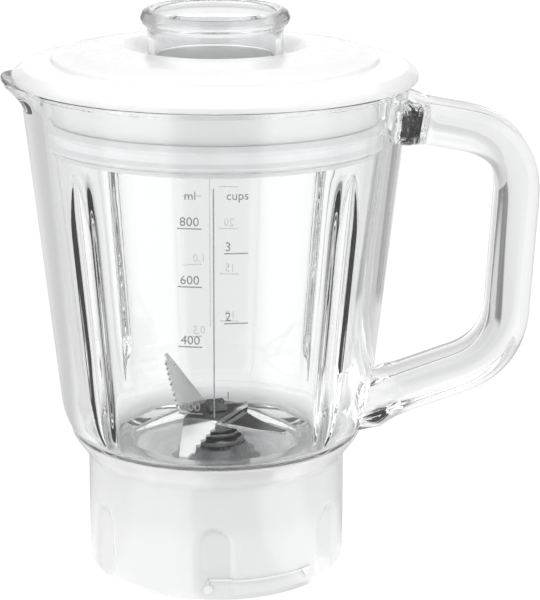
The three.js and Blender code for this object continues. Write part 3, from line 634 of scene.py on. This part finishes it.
def arc_block(name, inner, outer, low, high, azimuth, span, round_by=0.5):
    """A block over an arc of a ring, with rounded edges."""
    section = fillet([(inner, low), (outer, low), (outer, high), (inner, high)], round_by, 3)
    turn = np.radians(np.linspace(azimuth - span / 2, azimuth + span / 2, 14))
    rings = [[[r * math.cos(a), r * math.sin(a), z] for r, z in section] for a in turn]
    return made(name, rings, tube_faces(len(turn), len(section)))


jug = jug_body()
lugs = [arc_block(f"lug_{a}", 37, 41.4, 33, 36.5, a, LUG_SPAN) for a in LUG_AZIMUTHS]
jug = joined(jug, [handle()] + lugs, 38)
dress(jug, clear_glass, "clear_glass", "jug", "glass_jug")


# ---- Lid, seal and measuring cup ----

lid = turned("lid_moulding", fillet([
    (68.6, 172.7, 0.5), (68.6, 174.6, 0.9), (65.2, 177.1, 3), (58.3, 178.5, 2),
    (55.6, 178.75, 0.4), (55.0, 180.2, 0.7), (45.0, 182.1, 8), (35.0, 183.45, 6),
    (31.1, 183.8, 1.1), (24.9, 179.6, 1.2), (22.2, 179.2, 0.5), (22.0, 168.3, 0.3),
    (24.0, 168.3, 0.3), (24.0, 176.9, 1.0), (31.0, 180.8, 1.0), (51.6, 178.1, 1.5),
    (52.0, 175.2, 1.0), (52.1, 150.2, 0.3), (55.8, 150.2, 0.5), (55.8, 151.6, 0.2),
    (54.1, 151.7, 0.2), (54.1, 160.8, 0.2), (55.8, 160.9, 0.2), (55.9, 169.0, 1.0),
    (57.4, 172.7, 0.6)], 0.5, 5), 240, 28)
dress(lid, white_plastic, "white_plastic", "lid", "lid")

seal = turned("lid_seal_ring", fillet([
    (54.5, 152.0), (55.8, 152.0), (57.5, 153.0, 0.3), (57.6, 153.6, 0.3), (55.8, 154.7),
    (55.8, 157.2), (57.6, 158.2, 0.3), (57.7, 158.8, 0.3), (55.8, 160.5), (54.5, 160.5)],
    0.4, 4), 240, 45)
dress(seal, pale_rubber, "pale_rubber", "lid", "lid_seal")

cup_wall = fillet([
    (20.4, 169.0, 1.0), (21.55, 169.6, 0.8), (21.55, 179.5, 0.2), (22.95, 179.5, 0.4),
    (22.95, 189.4, 0.8), (24.2, 190.4, 1.2), (25.4, 192.6, 1.6), (24.4, 195.0, 1.2),
    (22.2, 196.0, 1.0), (20.3, 195.2, 1.4), (20.9, 192.0, 3.0), (20.5, 180.4, 1.5),
    (19.1, 177.6, 1.0), (19.0, 171.4, 1.4)], 0.6, 6)
cup = turned("measuring_cup_moulding", [(0.0, 169.0)] + cup_wall + [(0.0, 171.4)], 200, 40)
dress(cup, clear_plastic, "clear_plastic", "cup", "measuring_cup")


# ---- Base ring ----

BASE_R = 44.9
BASE_FOOT_R, BASE_FOOT_Z = 43.3, 2.6
BASE_BORE_R = 42.2
FRONT = 270  # azimuth of the front, in degrees
GROOVE_PITCH = 60
GROOVE_HALF = 7.3
GROOVE_TOP = 27.0
GROOVE_FLOOR_R = 43.3
GROOVE_EDGE = (-0.6, 2.6)
GROOVED_FROM_R = 42.6


def groove_off(azimuth):
    """Angle from the middle of the nearest finger groove, in radians."""
    half = GROOVE_PITCH / 2
    return np.radians(np.mod(azimuth - FRONT + half, GROOVE_PITCH) - half)


def groove_share(azimuth, z):
    """How deep in a finger groove a point lies, from 0 outside to 1 on its floor."""
    arch_z = GROOVE_TOP - GROOVE_HALF
    inside = GROOVE_HALF - np.hypot(groove_off(azimuth) * BASE_R, np.maximum(z - arch_z, 0))
    return step_up(inside, *GROOVE_EDGE)


def base_surface(azimuth, z, r):
    """Radius of a point of the base ring's profile once the flat-floored grooves are cut."""
    floor = GROOVE_FLOOR_R / np.cos(groove_off(azimuth))
    share = groove_share(azimuth, z)
    return np.where(r > GROOVED_FROM_R, r + (np.minimum(floor, r) - r) * share, r)


def base_r(z):
    """Outer radius of the base below its flare."""
    return float(np.interp(z, [0, 0.5, 1.6, BASE_FOOT_Z, 41.0],
                           [BASE_FOOT_R, 43.8, 44.5, BASE_R, BASE_R]))


def base_ring():
    """The ring's profile turned, from its foot up the outside and down through its bore."""
    chamfer = fillet([(BASE_BORE_R, 0.0), (BASE_FOOT_R, 0.0, 0.4), (BASE_R, BASE_FOOT_Z, 1.6),
                      (BASE_R, 4.0)], 0.5, 5, False)[1:]
    rows = np.concatenate([np.arange(3.6, 11, 1.2), np.arange(11.0, 30, 0.6),
                           np.arange(31.0, 40, 2.0)])
    rise = [[BASE_R, z] for z in rows]
    flare = through([(BASE_R, 40.6), (45.3, 41.4), (46.2, 42.4), (47.4, 44.0),
                     (49.3, 46.6), (50.3, 48.2)], 0.4)
    lip = fillet([(50.3, 48.2), (50.7, 49.0, 0.35), (49.75, 49.0, 0.3), (48.75, 47.0)],
                 0.3, 4, False)
    inside = through([(48.75, 47.0), (46.3, 44.8), (43.3, 42.4), (42.3, 40.6),
                      (BASE_BORE_R, 38.0)], 0.8)
    deck = fillet([(BASE_BORE_R, 38.0), (BASE_BORE_R, 25.0, 0.6), (17.0, 25.0, 0.5),
                   (17.0, 22.0, 0.5), (BASE_BORE_R, 22.0, 1.2), (BASE_BORE_R, 0.0, 0.4),
                   (BASE_FOOT_R, 0.0)], 0.5, 4, False)
    line = np.array(chamfer[:-1] + rise + flare.tolist() + lip[1:] + inside.tolist()[1:]
                    + deck[1:-1])
    azimuths = np.arange(0, 360, 0.5)
    az, r = np.meshgrid(azimuths, line[:, 0], indexing="ij")
    z = np.broadcast_to(line[:, 1], az.shape)
    r = base_surface(az, z, r)
    faces = grid_faces(*az.shape, True, True)
    return made("base_ring_body", swept(np.radians(az), r, z), faces, 30)


base = base_ring()
hooks = [arc_block(f"hook_{a}", 38.6, 43, 37.1, 39.6, a, LUG_SPAN) for a in LUG_AZIMUTHS]
drive_lugs = [arc_block(f"drive_lug_{a}", 39.6, 43, 5, 9, a, 20, 0.8) for a in (30, 150, 270)]
base = joined(base, hooks + drive_lugs, 30)
dress(base, base_plastic, "white_plastic", "base", "base_ring")


# ---- Raised marks ----

BAR_STEP, BAR_ROW = 1.0, 6
FLAT_MERGE_GAP = 1e-4
CAP_TO_SIZE = 1.38  # font size over the height of its figures
THINNED = -0.002
SCALE_FOOT_Z, SCALE_TOP_Z = 69.4, 148.1
DIVIDER_HALF, LINE_HALF = 0.2, 0.16
LEFT_LINE, RIGHT_LINE = (-11.6, -3.8), (3.3, 11.0)
RIGHT_NUMBER_SHIFT = 2.6
NUMBER_SIZE, HEAD_SIZE = 3.1, 2.9
NUMBER_LIFT = 0.9
SCALE_HEIGHT, FAINT_SCALE_HEIGHT, SCALE_SINK = 0.22, 0.1, 0.12
BACK_SCALE_AZIMUTH = 93
DOT_R, DOT_Z, DOT_SIDES = 1.65, 3.9, 20
MARK_LINE_Z = (7.1, 7.7)
MARK_STEM_HALF, MARK_STEM_Z = 0.3, 5.3
MARK_WEDGE_Z, MARK_WEDGE_ROWS = (7.9, 4.4), 6
MARK_AT = dict(dot=-3.2, wedge=40.5, tip=43.7, end=46.6)  # degrees from the front
MARK_HEIGHT, MARK_SINK = 0.5, 0.3


def wrapped(name, flat, surface, height, sink):
    """A flat triangulated mesh of (arc, z) points, in millimetres, raised on a turned surface.
    surface(arc, z) gives the azimuth in degrees and the radius there."""
    work = bmesh.new()
    work.from_mesh(flat)
    top = list(work.faces)
    grown = bmesh.ops.extrude_face_region(work, geom=top)
    lifted = {v for v in grown["geom"] if isinstance(v, bmesh.types.BMVert)}
    for v in work.verts:
        azimuth, r = surface(v.co.x, v.co.y)
        r += height if v in lifted else -sink
        turn = math.radians(azimuth)
        v.co = Vector((r * math.cos(turn) * MM + AXIS_X, r * math.sin(turn) * MM, v.co.y * MM))
    bmesh.ops.recalc_face_normals(work, faces=work.faces)
    mesh = bpy.data.meshes.new(name)
    work.to_mesh(mesh)
    work.free()
    smooth(mesh, 30)
    return add_object(name, mesh)


def flat_mesh(polygons):
    """A mesh of separate flat polygons."""
    mesh = bpy.data.meshes.new("flat")
    points, faces = [], []
    for polygon in polygons:
        faces.append(list(range(len(points), len(points) + len(polygon))))
        points += [(x, y, 0) for x, y in polygon]
    mesh.from_pydata(points, [], faces)
    return mesh


def bar_polygons(x0, x1, y0, y1):
    """A rectangle as rows of short ones, so that it can follow a curved surface."""
    xs = np.linspace(x0, x1, max(1, math.ceil((x1 - x0) / BAR_STEP)) + 1)
    ys = np.linspace(y0, y1, max(1, math.ceil((y1 - y0) / BAR_ROW)) + 1)
    return [[(a, c), (b, c), (b, d), (a, d)]
            for a, b in zip(xs, xs[1:]) for c, d in zip(ys, ys[1:])]


def text_mesh(words, size, x, y):
    """Flat letters centred on x, standing on y."""
    curve = bpy.data.curves.new("words", "FONT")
    curve.body = words
    curve.size = size * CAP_TO_SIZE
    curve.resolution_u = 3
    curve.offset = THINNED * size
    obj = add_object("words", curve)
    mesh = evaluated_mesh(obj)
    bpy.data.objects.remove(obj)
    co = np.array([v.co for v in mesh.vertices])
    middle = (co[:, 0].min() + co[:, 0].max()) / 2
    for v in mesh.vertices:
        v.co.x += x - middle
        v.co.y += y
    return mesh


def united(meshes):
    """Several flat meshes as one."""
    work = bmesh.new()
    for mesh in meshes:
        work.from_mesh(mesh)
    bmesh.ops.remove_doubles(work, verts=work.verts, dist=FLAT_MERGE_GAP)
    mesh = bpy.data.meshes.new("flat")
    work.to_mesh(mesh)
    work.free()
    return mesh


def scale_marks(name, middle, column_a, column_b, heads, height):
    """A scale on the wall at the azimuth middle: two columns of (number or nothing, z), left and
    right of a divider, with a line under each number, and heads of (words, x, z)."""
    parts = [flat_mesh(bar_polygons(-DIVIDER_HALF, DIVIDER_HALF, SCALE_FOOT_Z, SCALE_TOP_Z))]
    for column, (x0, x1), shift in ((column_a, LEFT_LINE, 0),
                                    (column_b, RIGHT_LINE, RIGHT_NUMBER_SHIFT)):
        for number, z in column:
            parts.append(flat_mesh(bar_polygons(x0, x1, z - LINE_HALF, z + LINE_HALF)))
            if number:
                at = (x0 + x1) / 2 - shift
                parts.append(text_mesh(number, NUMBER_SIZE, at, z + NUMBER_LIFT))
    for words, x, z in heads:
        parts.append(text_mesh(words, HEAD_SIZE, x, z))

    def surface(arc, z):
        r = float(wall_r(z))
        return middle + math.degrees(arc / r), r

    return wrapped(name, united(parts), surface, height, SCALE_SINK)


def mark_material(name, dark, light, clear):
    """The raised strokes of a scale: glass roughened by the mould, with a grey that is painted
    shade for the dark lines raised clear glass shows; opaque grey where clear is 0.
    """
    material, shader = new_material(name, light, 0.3, IOR=1.5, Transmission_Weight=clear)
    grain = noise(material, 900, 3.0)
    two_tone(material, shader, grain, dark, light)
    link(material, spread(material, grain, 0.2, 0.45), shader, "Roughness")
    bump(material, shader, [(grain, 0.3, 0.00008)])
    return material


# The front scale is painted opaque dark grey and the back scale a faint grey tint: painted shade
# for the dark lines raised clear glass shows.
scale_glass = mark_material("scale_glass", (0.24, 0.25, 0.26), (0.36, 0.37, 0.38), 0.0)
faint_glass = mark_material("faint_scale_glass", (0.8, 0.81, 0.82), (0.9, 0.91, 0.92), 0.93)
front_scale = scale_marks(
    "scale_front", FRONT, [("200", 70.8), ("400", 94.3), ("600", 115.0), ("800", 134.7)],
    [("1", 74.7), ("2", 102.5), ("3", 126.4)], [("ml", -7.4, 144.4), ("cups", 7.6, 144.4)],
    SCALE_HEIGHT)
dress(front_scale, scale_glass, "clear_glass", "jug")
back_scale = scale_marks(
    "scale_back", BACK_SCALE_AZIMUTH, [("10", 71.6), ("15", 89.2), ("20", 106.0), ("", 121.4)],
    [("0.5", 66.0), ("1.0", 92.8), ("", 118.0)], [], FAINT_SCALE_HEIGHT)
dress(back_scale, faint_glass, "clear_glass", "jug")


def lock_mark():
    """Raised locking mark low on the base: a dot, a line with a step, and a triangle."""
    dot_x, wedge_x, tip_x, end_x = (math.radians(a) * BASE_R for a in MARK_AT.values())
    slice_angle = 2 * math.pi / DOT_SIDES
    disc = []
    for turn in np.arange(DOT_SIDES) * slice_angle:
        rim = [(dot_x + DOT_R * math.cos(a), DOT_Z + DOT_R * math.sin(a))
               for a in (turn, turn + slice_angle)]
        disc.append([(dot_x, DOT_Z)] + rim)
    low_z, high_z = MARK_LINE_Z
    line = bar_polygons(dot_x - MARK_STEM_HALF, dot_x + MARK_STEM_HALF, MARK_STEM_Z, high_z)
    line += bar_polygons(dot_x, wedge_x, low_z, high_z)
    top_z, tip_z = MARK_WEDGE_Z
    wedge = []
    for k in range(MARK_WEDGE_ROWS):
        (l0, r0, z0), (l1, r1, z1) = [
            (wedge_x + (tip_x - wedge_x) * t, end_x + (tip_x - end_x) * t,
             top_z + (tip_z - top_z) * t)
            for t in (k / MARK_WEDGE_ROWS, (k + 1) / MARK_WEDGE_ROWS)]
        wedge.append([(l1, z1), (r1, z1), (r0, z0), (l0, z0)])

    def surface(arc, z):
        azimuth = FRONT + math.degrees(arc / BASE_R)
        return azimuth, float(base_surface(np.array(azimuth), np.array(z), np.array(base_r(z))))

    flat = united([flat_mesh(disc), flat_mesh(line), flat_mesh(wedge)])
    return wrapped("lock_mark", flat, surface, MARK_HEIGHT, MARK_SINK)


dress(lock_mark(), lit_mark_plastic, "white_plastic", "base")


# ---- Knife unit ----

carrier = turned("knife_carrier_moulding", fillet([
    (26.1, 25.4, 0.4), (39.0, 25.4, 0.4), (39.0, 28.0, 0.5), (28.3, 28.0, 0.3), (28.3, 42.7, 0.4),
    (27.6, 43.5, 0.5), (25.9, 42.7, 0.8), (22.2, 39.0, 3), (16.0, 38.0, 2.5), (11.9, 41.1, 0.8),
    (10.3, 43.7, 0.5), (8.2, 43.7, 0.2), (8.2, 22.5, 0.2), (10.4, 22.5, 0.4), (10.4, 35.8, 1.2),
    (22.2, 36.4, 2), (26.1, 38.0, 1.0)], 0.5, 6), 200, 30)
dress(carrier, grey_plastic, "grey_plastic", "base", "knife_carrier")

for label, cad, body, line in (
    ("seal_cap_turning", "seal_cap", "base",
     [(4.3, 44.0), (9.8, 44.0, 0.2), (9.8, 45.8, 0.5), (9.0, 46.4, 0.4), (4.3, 46.4)]),
    ("slinger_turning", "slinger_disc", "rotor",
     [(4.3, 47.0), (7.4, 47.0, 0.3), (7.4, 48.6, 0.4), (4.3, 48.6)]),
    ("spacer_turning", "blade_spacer", "rotor",
     [(4.3, 48.9), (5.6, 48.9, 0.3), (5.6, 51.8, 0.3), (4.3, 51.8)]),
):
    dress(turned(label, fillet(line, 0.15, 4), 120, 30), plain_steel, "plain_steel", body, cad)

REACH = 27.6
WING_HALF = 6.2
BLADE_THICK = 1.3
BLADE_EDGE = 0.12
SQUARE_HALF = 3
BEND_HALF = 0.6
LOWER_BLADE_Z, UPPER_BLADE_Z = 53.4, 55.0
TEETH_FROM, TEETH_SHORT = 1.6, 2.5
TOOTH = ((0.0, 0), (0.12, 0.55), (0.3, 0.95), (0.5, 1.0), (0.66, 0.7), (0.8, 0))  # along, deep
NOSE, TIP_ROUND = 0.5, 0.15
LOWER_TEETH, UPPER_TEETH = (1, 2.1, 0.75), (1, 3.0, 0.8)
SMALL_HOLE = (-18.4, 22.0, 0.55)
# azimuth: of the bend line's middle, at centre from the axis; line: the way the wing points
RAISED_WING = dict(azimuth=133, centre=12.2, line=131, bend=46, short=0.4, tip=0.7)
LEVEL_WING = dict(azimuth=-24.4, centre=8.6, line=-33, bend=-5, short=0.4, tip=1.6)
FRONT_WING = dict(azimuth=239, centre=10.5, line=249.5, bend=-30, short=1.6, tip=1.6)
REAR_WING = dict(azimuth=59, centre=10.5, line=69.5, bend=-42, short=4, tip=1.6)


def wing_points(wing, teeth):
    """Outline of one wing laid flat, from one end of its bend line round its tip to the other.
    teeth is (side, pitch, depth): the serrated side and the size of its teeth."""
    turn, line = math.radians(wing["azimuth"]), math.radians(wing["line"])
    at = Vector((math.cos(turn), math.sin(turn))) * wing["centre"]
    along = Vector((math.cos(line), math.sin(line)))
    across = Vector((-along.y, along.x))
    length = (REACH - wing["short"] - wing["centre"]) / math.cos(math.radians(wing["bend"]))

    def edge(side):
        """One side of the wing up to its tip, and the tip's corner."""
        a = at + across * (side * WING_HALF)
        b = at + along * length + across * (side * wing["tip"])
        points = [a]
        if teeth and teeth[0] == side:
            _, pitch, deep = teeth
            way = (b - a).normalized()
            inward = Vector((-(b - a).y, (b - a).x)).normalized() * -side
            for i in range(int(((b - a).length - TEETH_SHORT) / pitch)):
                s = TEETH_FROM + i * pitch
                points += [a + way * (s + k * pitch) - inward * depth * deep for k, depth in TOOTH]
        return points, b

    first, first_tip = edge(-1)
    second, second_tip = edge(1)
    nose = at + along * (length + NOSE)
    rounded = [corner.lerp(nose, 0.5) + along * TIP_ROUND for corner in (first_tip, second_tip)]
    tip = [first_tip, *rounded, second_tip]
    return first + tip + second[::-1], at, along, across


def loop_edges(work, points):
    """A closed loop of edges through points in the plane."""
    corners = [work.verts.new((*p, 0)) for p in points]
    return [work.edges.new((a, b)) for a, b in zip(corners, corners[1:] + corners[:1])]


def bent(flat, bends):
    """Where a point of the flat sheet goes when its wings are bent."""
    for at, along, across, angle in bends:
        out = (flat - at).dot(along)
        if out <= -BEND_HALF:
            continue
        if out < BEND_HALF:
            lean = angle * (out + BEND_HALF) / (2 * BEND_HALF) / 2
            reach = -BEND_HALF + (out + BEND_HALF) * math.cos(lean)
            rise = (out + BEND_HALF) * math.sin(lean)
        else:
            reach = (-BEND_HALF + 2 * BEND_HALF * math.cos(angle / 2)
                     + (out - BEND_HALF) * math.cos(angle))
            rise = 2 * BEND_HALF * math.sin(angle / 2) + (out - BEND_HALF) * math.sin(angle)
        p = at + along * reach + across * (flat - at).dot(across)
        return Vector((p.x, p.y, rise))
    return Vector((flat.x, flat.y, 0))


def blade(name, top, wings, hole):
    """A blade of sheet steel: its outline and holes cut flat, then its two wings bent."""
    outline, bends = [], []
    for wing, teeth in wings:
        points, at, along, across = wing_points(wing, teeth)
        outline += points
        bends.append((at, along, across, math.radians(wing["bend"])))
    h = SQUARE_HALF
    loops = [outline, [(-h, -h), (h, -h), (h, h), (-h, h)]]
    if hole:
        x, y, r = hole
        loops.append([(x + r * math.cos(a), y + r * math.sin(a))
                      for a in np.linspace(0, 2 * math.pi, 14, endpoint=False)])
    work = bmesh.new()
    edges = [edge for loop in loops for edge in loop_edges(work, loop)]
    bmesh.ops.triangle_fill(work, edges=edges, use_beauty=True)
    for at, along, across, angle in bends:
        for shift in (-BEND_HALF, 0.0, BEND_HALF):
            bmesh.ops.bisect_plane(work, geom=[*work.verts, *work.edges, *work.faces],
                                   plane_co=(*(at + along * shift), 0), plane_no=(*along, 0))
    for v in work.verts:
        v.co = bent(v.co.xy, bends)
    bmesh.ops.recalc_face_normals(work, faces=work.faces)
    if sum(f.normal.z for f in work.faces) < 0:
        bmesh.ops.reverse_faces(work, faces=work.faces)
    mesh = bpy.data.meshes.new(name)
    for v in work.verts:
        v.co = Vector((v.co.x * MM + AXIS_X, v.co.y * MM, (v.co.z + top) * MM))
    work.to_mesh(mesh)
    work.free()
    obj = add_object(name, mesh)
    thick = obj.modifiers.new("thickness", "SOLIDIFY")
    thick.thickness = BLADE_THICK * MM
    thick.offset = -1
    round_edges(obj, BLADE_EDGE, 40)
    obj.data = evaluated_mesh(obj)
    obj.modifiers.clear()
    smooth(obj.data, 25)
    return obj


lower = blade("lower_blade_sheet", LOWER_BLADE_Z, [(RAISED_WING, LOWER_TEETH), (LEVEL_WING, None)],
              SMALL_HOLE)
dress(lower, lower_steel, "blade_steel", "rotor", "lower_blade")
upper = blade("upper_blade_sheet", UPPER_BLADE_Z, [(FRONT_WING, UPPER_TEETH), (REAR_WING, None)],
              None)
dress(upper, upper_steel, "blade_steel", "rotor", "upper_blade")


for cad, material in (
    ("jug_gasket", pale_rubber), ("bearing_sleeve", plain_steel), ("lower_bush", sintered_bronze),
    ("upper_bush", sintered_bronze), ("shaft_seal", dark_rubber), ("blade_shaft", plain_steel),
    ("blade_nut", plain_steel), ("thrust_washer", plain_steel), ("circlip", plain_steel),
    ("drive_coupling", black_plastic), ("coupling_pin", plain_steel),
):
    nodes[cad].data.materials.clear()
    nodes[cad].data.materials.append(material)
for cad, width in (("blade_nut", 0.3), ("drive_coupling", 0.4)):
    round_edges(nodes[cad], width, 35)


# ---- Studio ----

DEG = math.pi / 180
# levels are (degrees from straight behind, strength)
LOW = [(0, 0.76), (11, 0.75), (22, 0.63), (38, 0.5), (50, 0.44), (66, 0.7), (90, 1.0), (106, 1.0),
       (114, 1.6), (148, 1.6), (160, 0.35), (180, 0.3)]
HIGH = [(0, 1.05), (12, 0.95), (24, 0.55), (50, 0.5), (70, 0.7), (104, 1.0), (114, 1.7), (148, 1.7),
        (160, 0.4), (180, 0.35)]
TOP = [(0, 1.3), (180, 1.3)]
LOW_TO_HIGH = (-10, 2)  # degrees up
HIGH_TO_TOP = (30, 42)
MATT_OUTSIDE = 0.78
MATT_INSIDE = 1.6
FLAG = ((0.3, 0.33), (22, 25), (34, 37))  # dark card on the floor: metres away, degrees from, to
FLAG_SHADE = 0.85
STEEL_SEES = ((20, 12), (34, 26), (7, 12))  # dark patch: degrees off, top and foot in degrees up
STEEL_SHADE = 0.9
WORLD_SEEN = 1.05
FLOOR_SEEN = 0.96
FLOOR_MATT = 0.1
FLOOR_R = 0.8
FLOOR_GAP = 0.0002
FLOOR_SIDES = 96


class Studio:
    """Nodes for how bright the studio is in a direction: bright behind, grey 50 degrees off,
    bright at the sides and brightest past them, dark straight in front, bright overhead."""

    def __init__(self, tree):
        self.tree = tree
        self.path = self.add("LightPath").outputs

    def add(self, kind, *sources):
        """A node with values or other nodes' outputs in its first sockets."""
        n = self.tree.nodes.new("ShaderNode" + kind)
        for socket, source in zip(n.inputs, sources):
            if isinstance(source, bpy.types.NodeSocket):
                self.tree.links.new(source, socket)
            else:
                socket.default_value = source
        return n

    def math(self, operation, *values):
        n = self.add("Math", *values)
        n.operation = operation
        return n.outputs[0]

    def product(self, first, *others):
        for other in others:
            first = self.math("MULTIPLY", first, other)
        return first

    def ramp(self, value, low, high):
        """A smooth rise from 0 to 1 between two angles in degrees."""
        n = self.add("MapRange", value, low * DEG, high * DEG)
        n.interpolation_type = "SMOOTHSTEP"
        return n.outputs["Result"]

    def levels(self, value, stops):
        n = self.add("ValToRGB", value)
        n.color_ramp.interpolation = "EASE"
        points = n.color_ramp.elements
        for i, (degrees, strength) in enumerate(stops):
            point = points[i] if i < 2 else points.new(degrees / 180)
            point.position = degrees / 180
            point.color = (strength, strength, strength, 1)
        return n.outputs["Color"]

    def shaded(self, share, strength):
        """The light left where a share of it is taken away."""
        return self.math("SUBTRACT", 1.0, self.product(share, strength))

    def between(self, share, low, high):
        return self.math("ADD", self.product(share, high),
                         self.product(self.math("SUBTRACT", 1.0, share), low))

    def flag(self, spot):
        """Share of light left by a dark card that lies on the floor, behind the handle."""
        parts = self.add("SeparateXYZ", spot).outputs
        turn = self.math("ARCTAN2", parts[0], parts[1])
        length = self.add("VectorMath", spot)
        length.operation = "LENGTH"
        near, first, last = FLAG
        far = self.ramp(length.outputs["Value"], near[0] / DEG, near[1] / DEG)
        card = self.product(self.ramp(turn, *first), self.ramp(turn, last[1], last[0]), far)
        return self.shaded(card, FLAG_SHADE)

    def softened(self, level):
        """Even light for matt surfaces, and more of it inside the glass."""
        matt = self.math("GREATER_THAN", self.path["Diffuse Depth"], 0.5)
        inside = self.math("GREATER_THAN", self.path["Transmission Depth"], 1.5)
        return self.between(matt, level, self.between(inside, MATT_OUTSIDE, MATT_INSIDE))

    def around(self, direction):
        """How far a direction is from straight behind, in radians, and its upward part."""
        x, y, z = self.add("SeparateXYZ", direction).outputs
        return self.math("ABSOLUTE", self.math("ARCTAN2", x, y)), z

    def floor_level(self, spot):
        off, _ = self.around(spot)
        return self.softened(self.levels(self.math("DIVIDE", off, math.pi), LOW))

    def sky_level(self, direction):
        off, up = self.around(direction)
        turn, height = self.math("DIVIDE", off, math.pi), self.math("ARCSINE", up)
        raised = self.between(self.ramp(height, *LOW_TO_HIGH), self.levels(turn, LOW),
                              self.levels(turn, HIGH))
        whole = self.between(self.ramp(height, *HIGH_TO_TOP), self.softened(raised),
                             self.levels(turn, TOP))
        # what the steel inside the jug mirrors: the dark end of the studio
        across, top, foot = STEEL_SEES
        patch = self.product(self.math("GREATER_THAN", self.path["Transmission Depth"], 2.5),
                             self.math("GREATER_THAN", self.path["Glossy Depth"], 0.5),
                             self.ramp(off, *across), self.ramp(height, *top),
                             self.ramp(height, *foot))
        return self.product(whole, self.shaded(patch, STEEL_SHADE))


def floor():
    """A white floor, plain white to the camera. Through the glass it has the studio's levels."""
    mesh = bpy.data.meshes.new("floor")
    turn = np.linspace(0, 2 * math.pi, FLOOR_SIDES, endpoint=False)
    rim = [(FLOOR_R * math.cos(a), FLOOR_R * math.sin(a), -FLOOR_GAP) for a in turn]
    mesh.from_pydata(rim, [], [list(range(FLOOR_SIDES))])
    paint = bpy.data.materials.new("floor_white")
    paint.use_nodes = True
    paint.node_tree.nodes.clear()
    studio = Studio(paint.node_tree)
    spot = studio.add("NewGeometry").outputs["Position"]
    level = studio.product(studio.floor_level(spot), studio.flag(spot))
    glow = studio.between(studio.path["Is Camera Ray"], level, FLOOR_SEEN)
    light = studio.add("Emission", (1, 1, 1, 1), glow)
    matt = studio.add("BsdfDiffuse", (FLOOR_MATT, FLOOR_MATT, FLOOR_MATT, 1))
    both = studio.add("AddShader", light.outputs[0], matt.outputs[0])
    studio.add("OutputMaterial", both.outputs[0])
    mesh.materials.append(paint)
    add_object("floor", mesh)


def build_world():
    world = bpy.data.worlds.new("studio")
    scene.world = world
    world.use_nodes = True
    world.node_tree.nodes.clear()
    studio = Studio(world.node_tree)
    level = studio.sky_level(studio.add("TexCoord").outputs["Generated"])
    seen = studio.product(studio.path["Is Camera Ray"], WORLD_SEEN)
    background = studio.add("Background", (1, 1, 1, 1), studio.math("MAXIMUM", level, seen))
    studio.add("OutputWorld", background.outputs[0])


floor()
build_world()

SOFTBOX_AT, SOFTBOX_AIM = Vector((-0.1, -0.1, 1.5)), Vector((0, 0, 0.1))
softbox = add_object("top_softbox", bpy.data.lights.new("top_softbox", "AREA"))
softbox.data.size = 1.4
softbox.data.energy = 3
softbox.location = SOFTBOX_AT
softbox.rotation_mode = "QUATERNION"
softbox.rotation_quaternion = (SOFTBOX_AIM - SOFTBOX_AT).to_track_quat("-Z", "Y")

CAMERA_AT = (0.00878 + AXIS_X, -0.76335, 0.30857)
CAMERA_AIM = (0.0126, 0.9626, -0.2706)
CAMERA_ROLL = 0.0041
camera = add_object("camera", bpy.data.cameras.new("camera"))
scene.camera = camera
camera.location = CAMERA_AT
camera.rotation_mode = "QUATERNION"
level_view = Vector(CAMERA_AIM).to_track_quat("-Z", "Y")
camera.rotation_quaternion = level_view @ Quaternion((0, 0, 1), CAMERA_ROLL)
camera.data.lens = 136.89
camera.data.sensor_width = 36
camera.data.clip_start = 0.01

scene.view_settings.view_transform = "Standard"
scene.view_settings.look = "None"
scene.cycles.max_bounces = 24
scene.cycles.transmission_bounces = 24
scene.cycles.glossy_bounces = 10
scene.cycles.transparent_max_bounces = 12

bpy.context.view_layer.update()
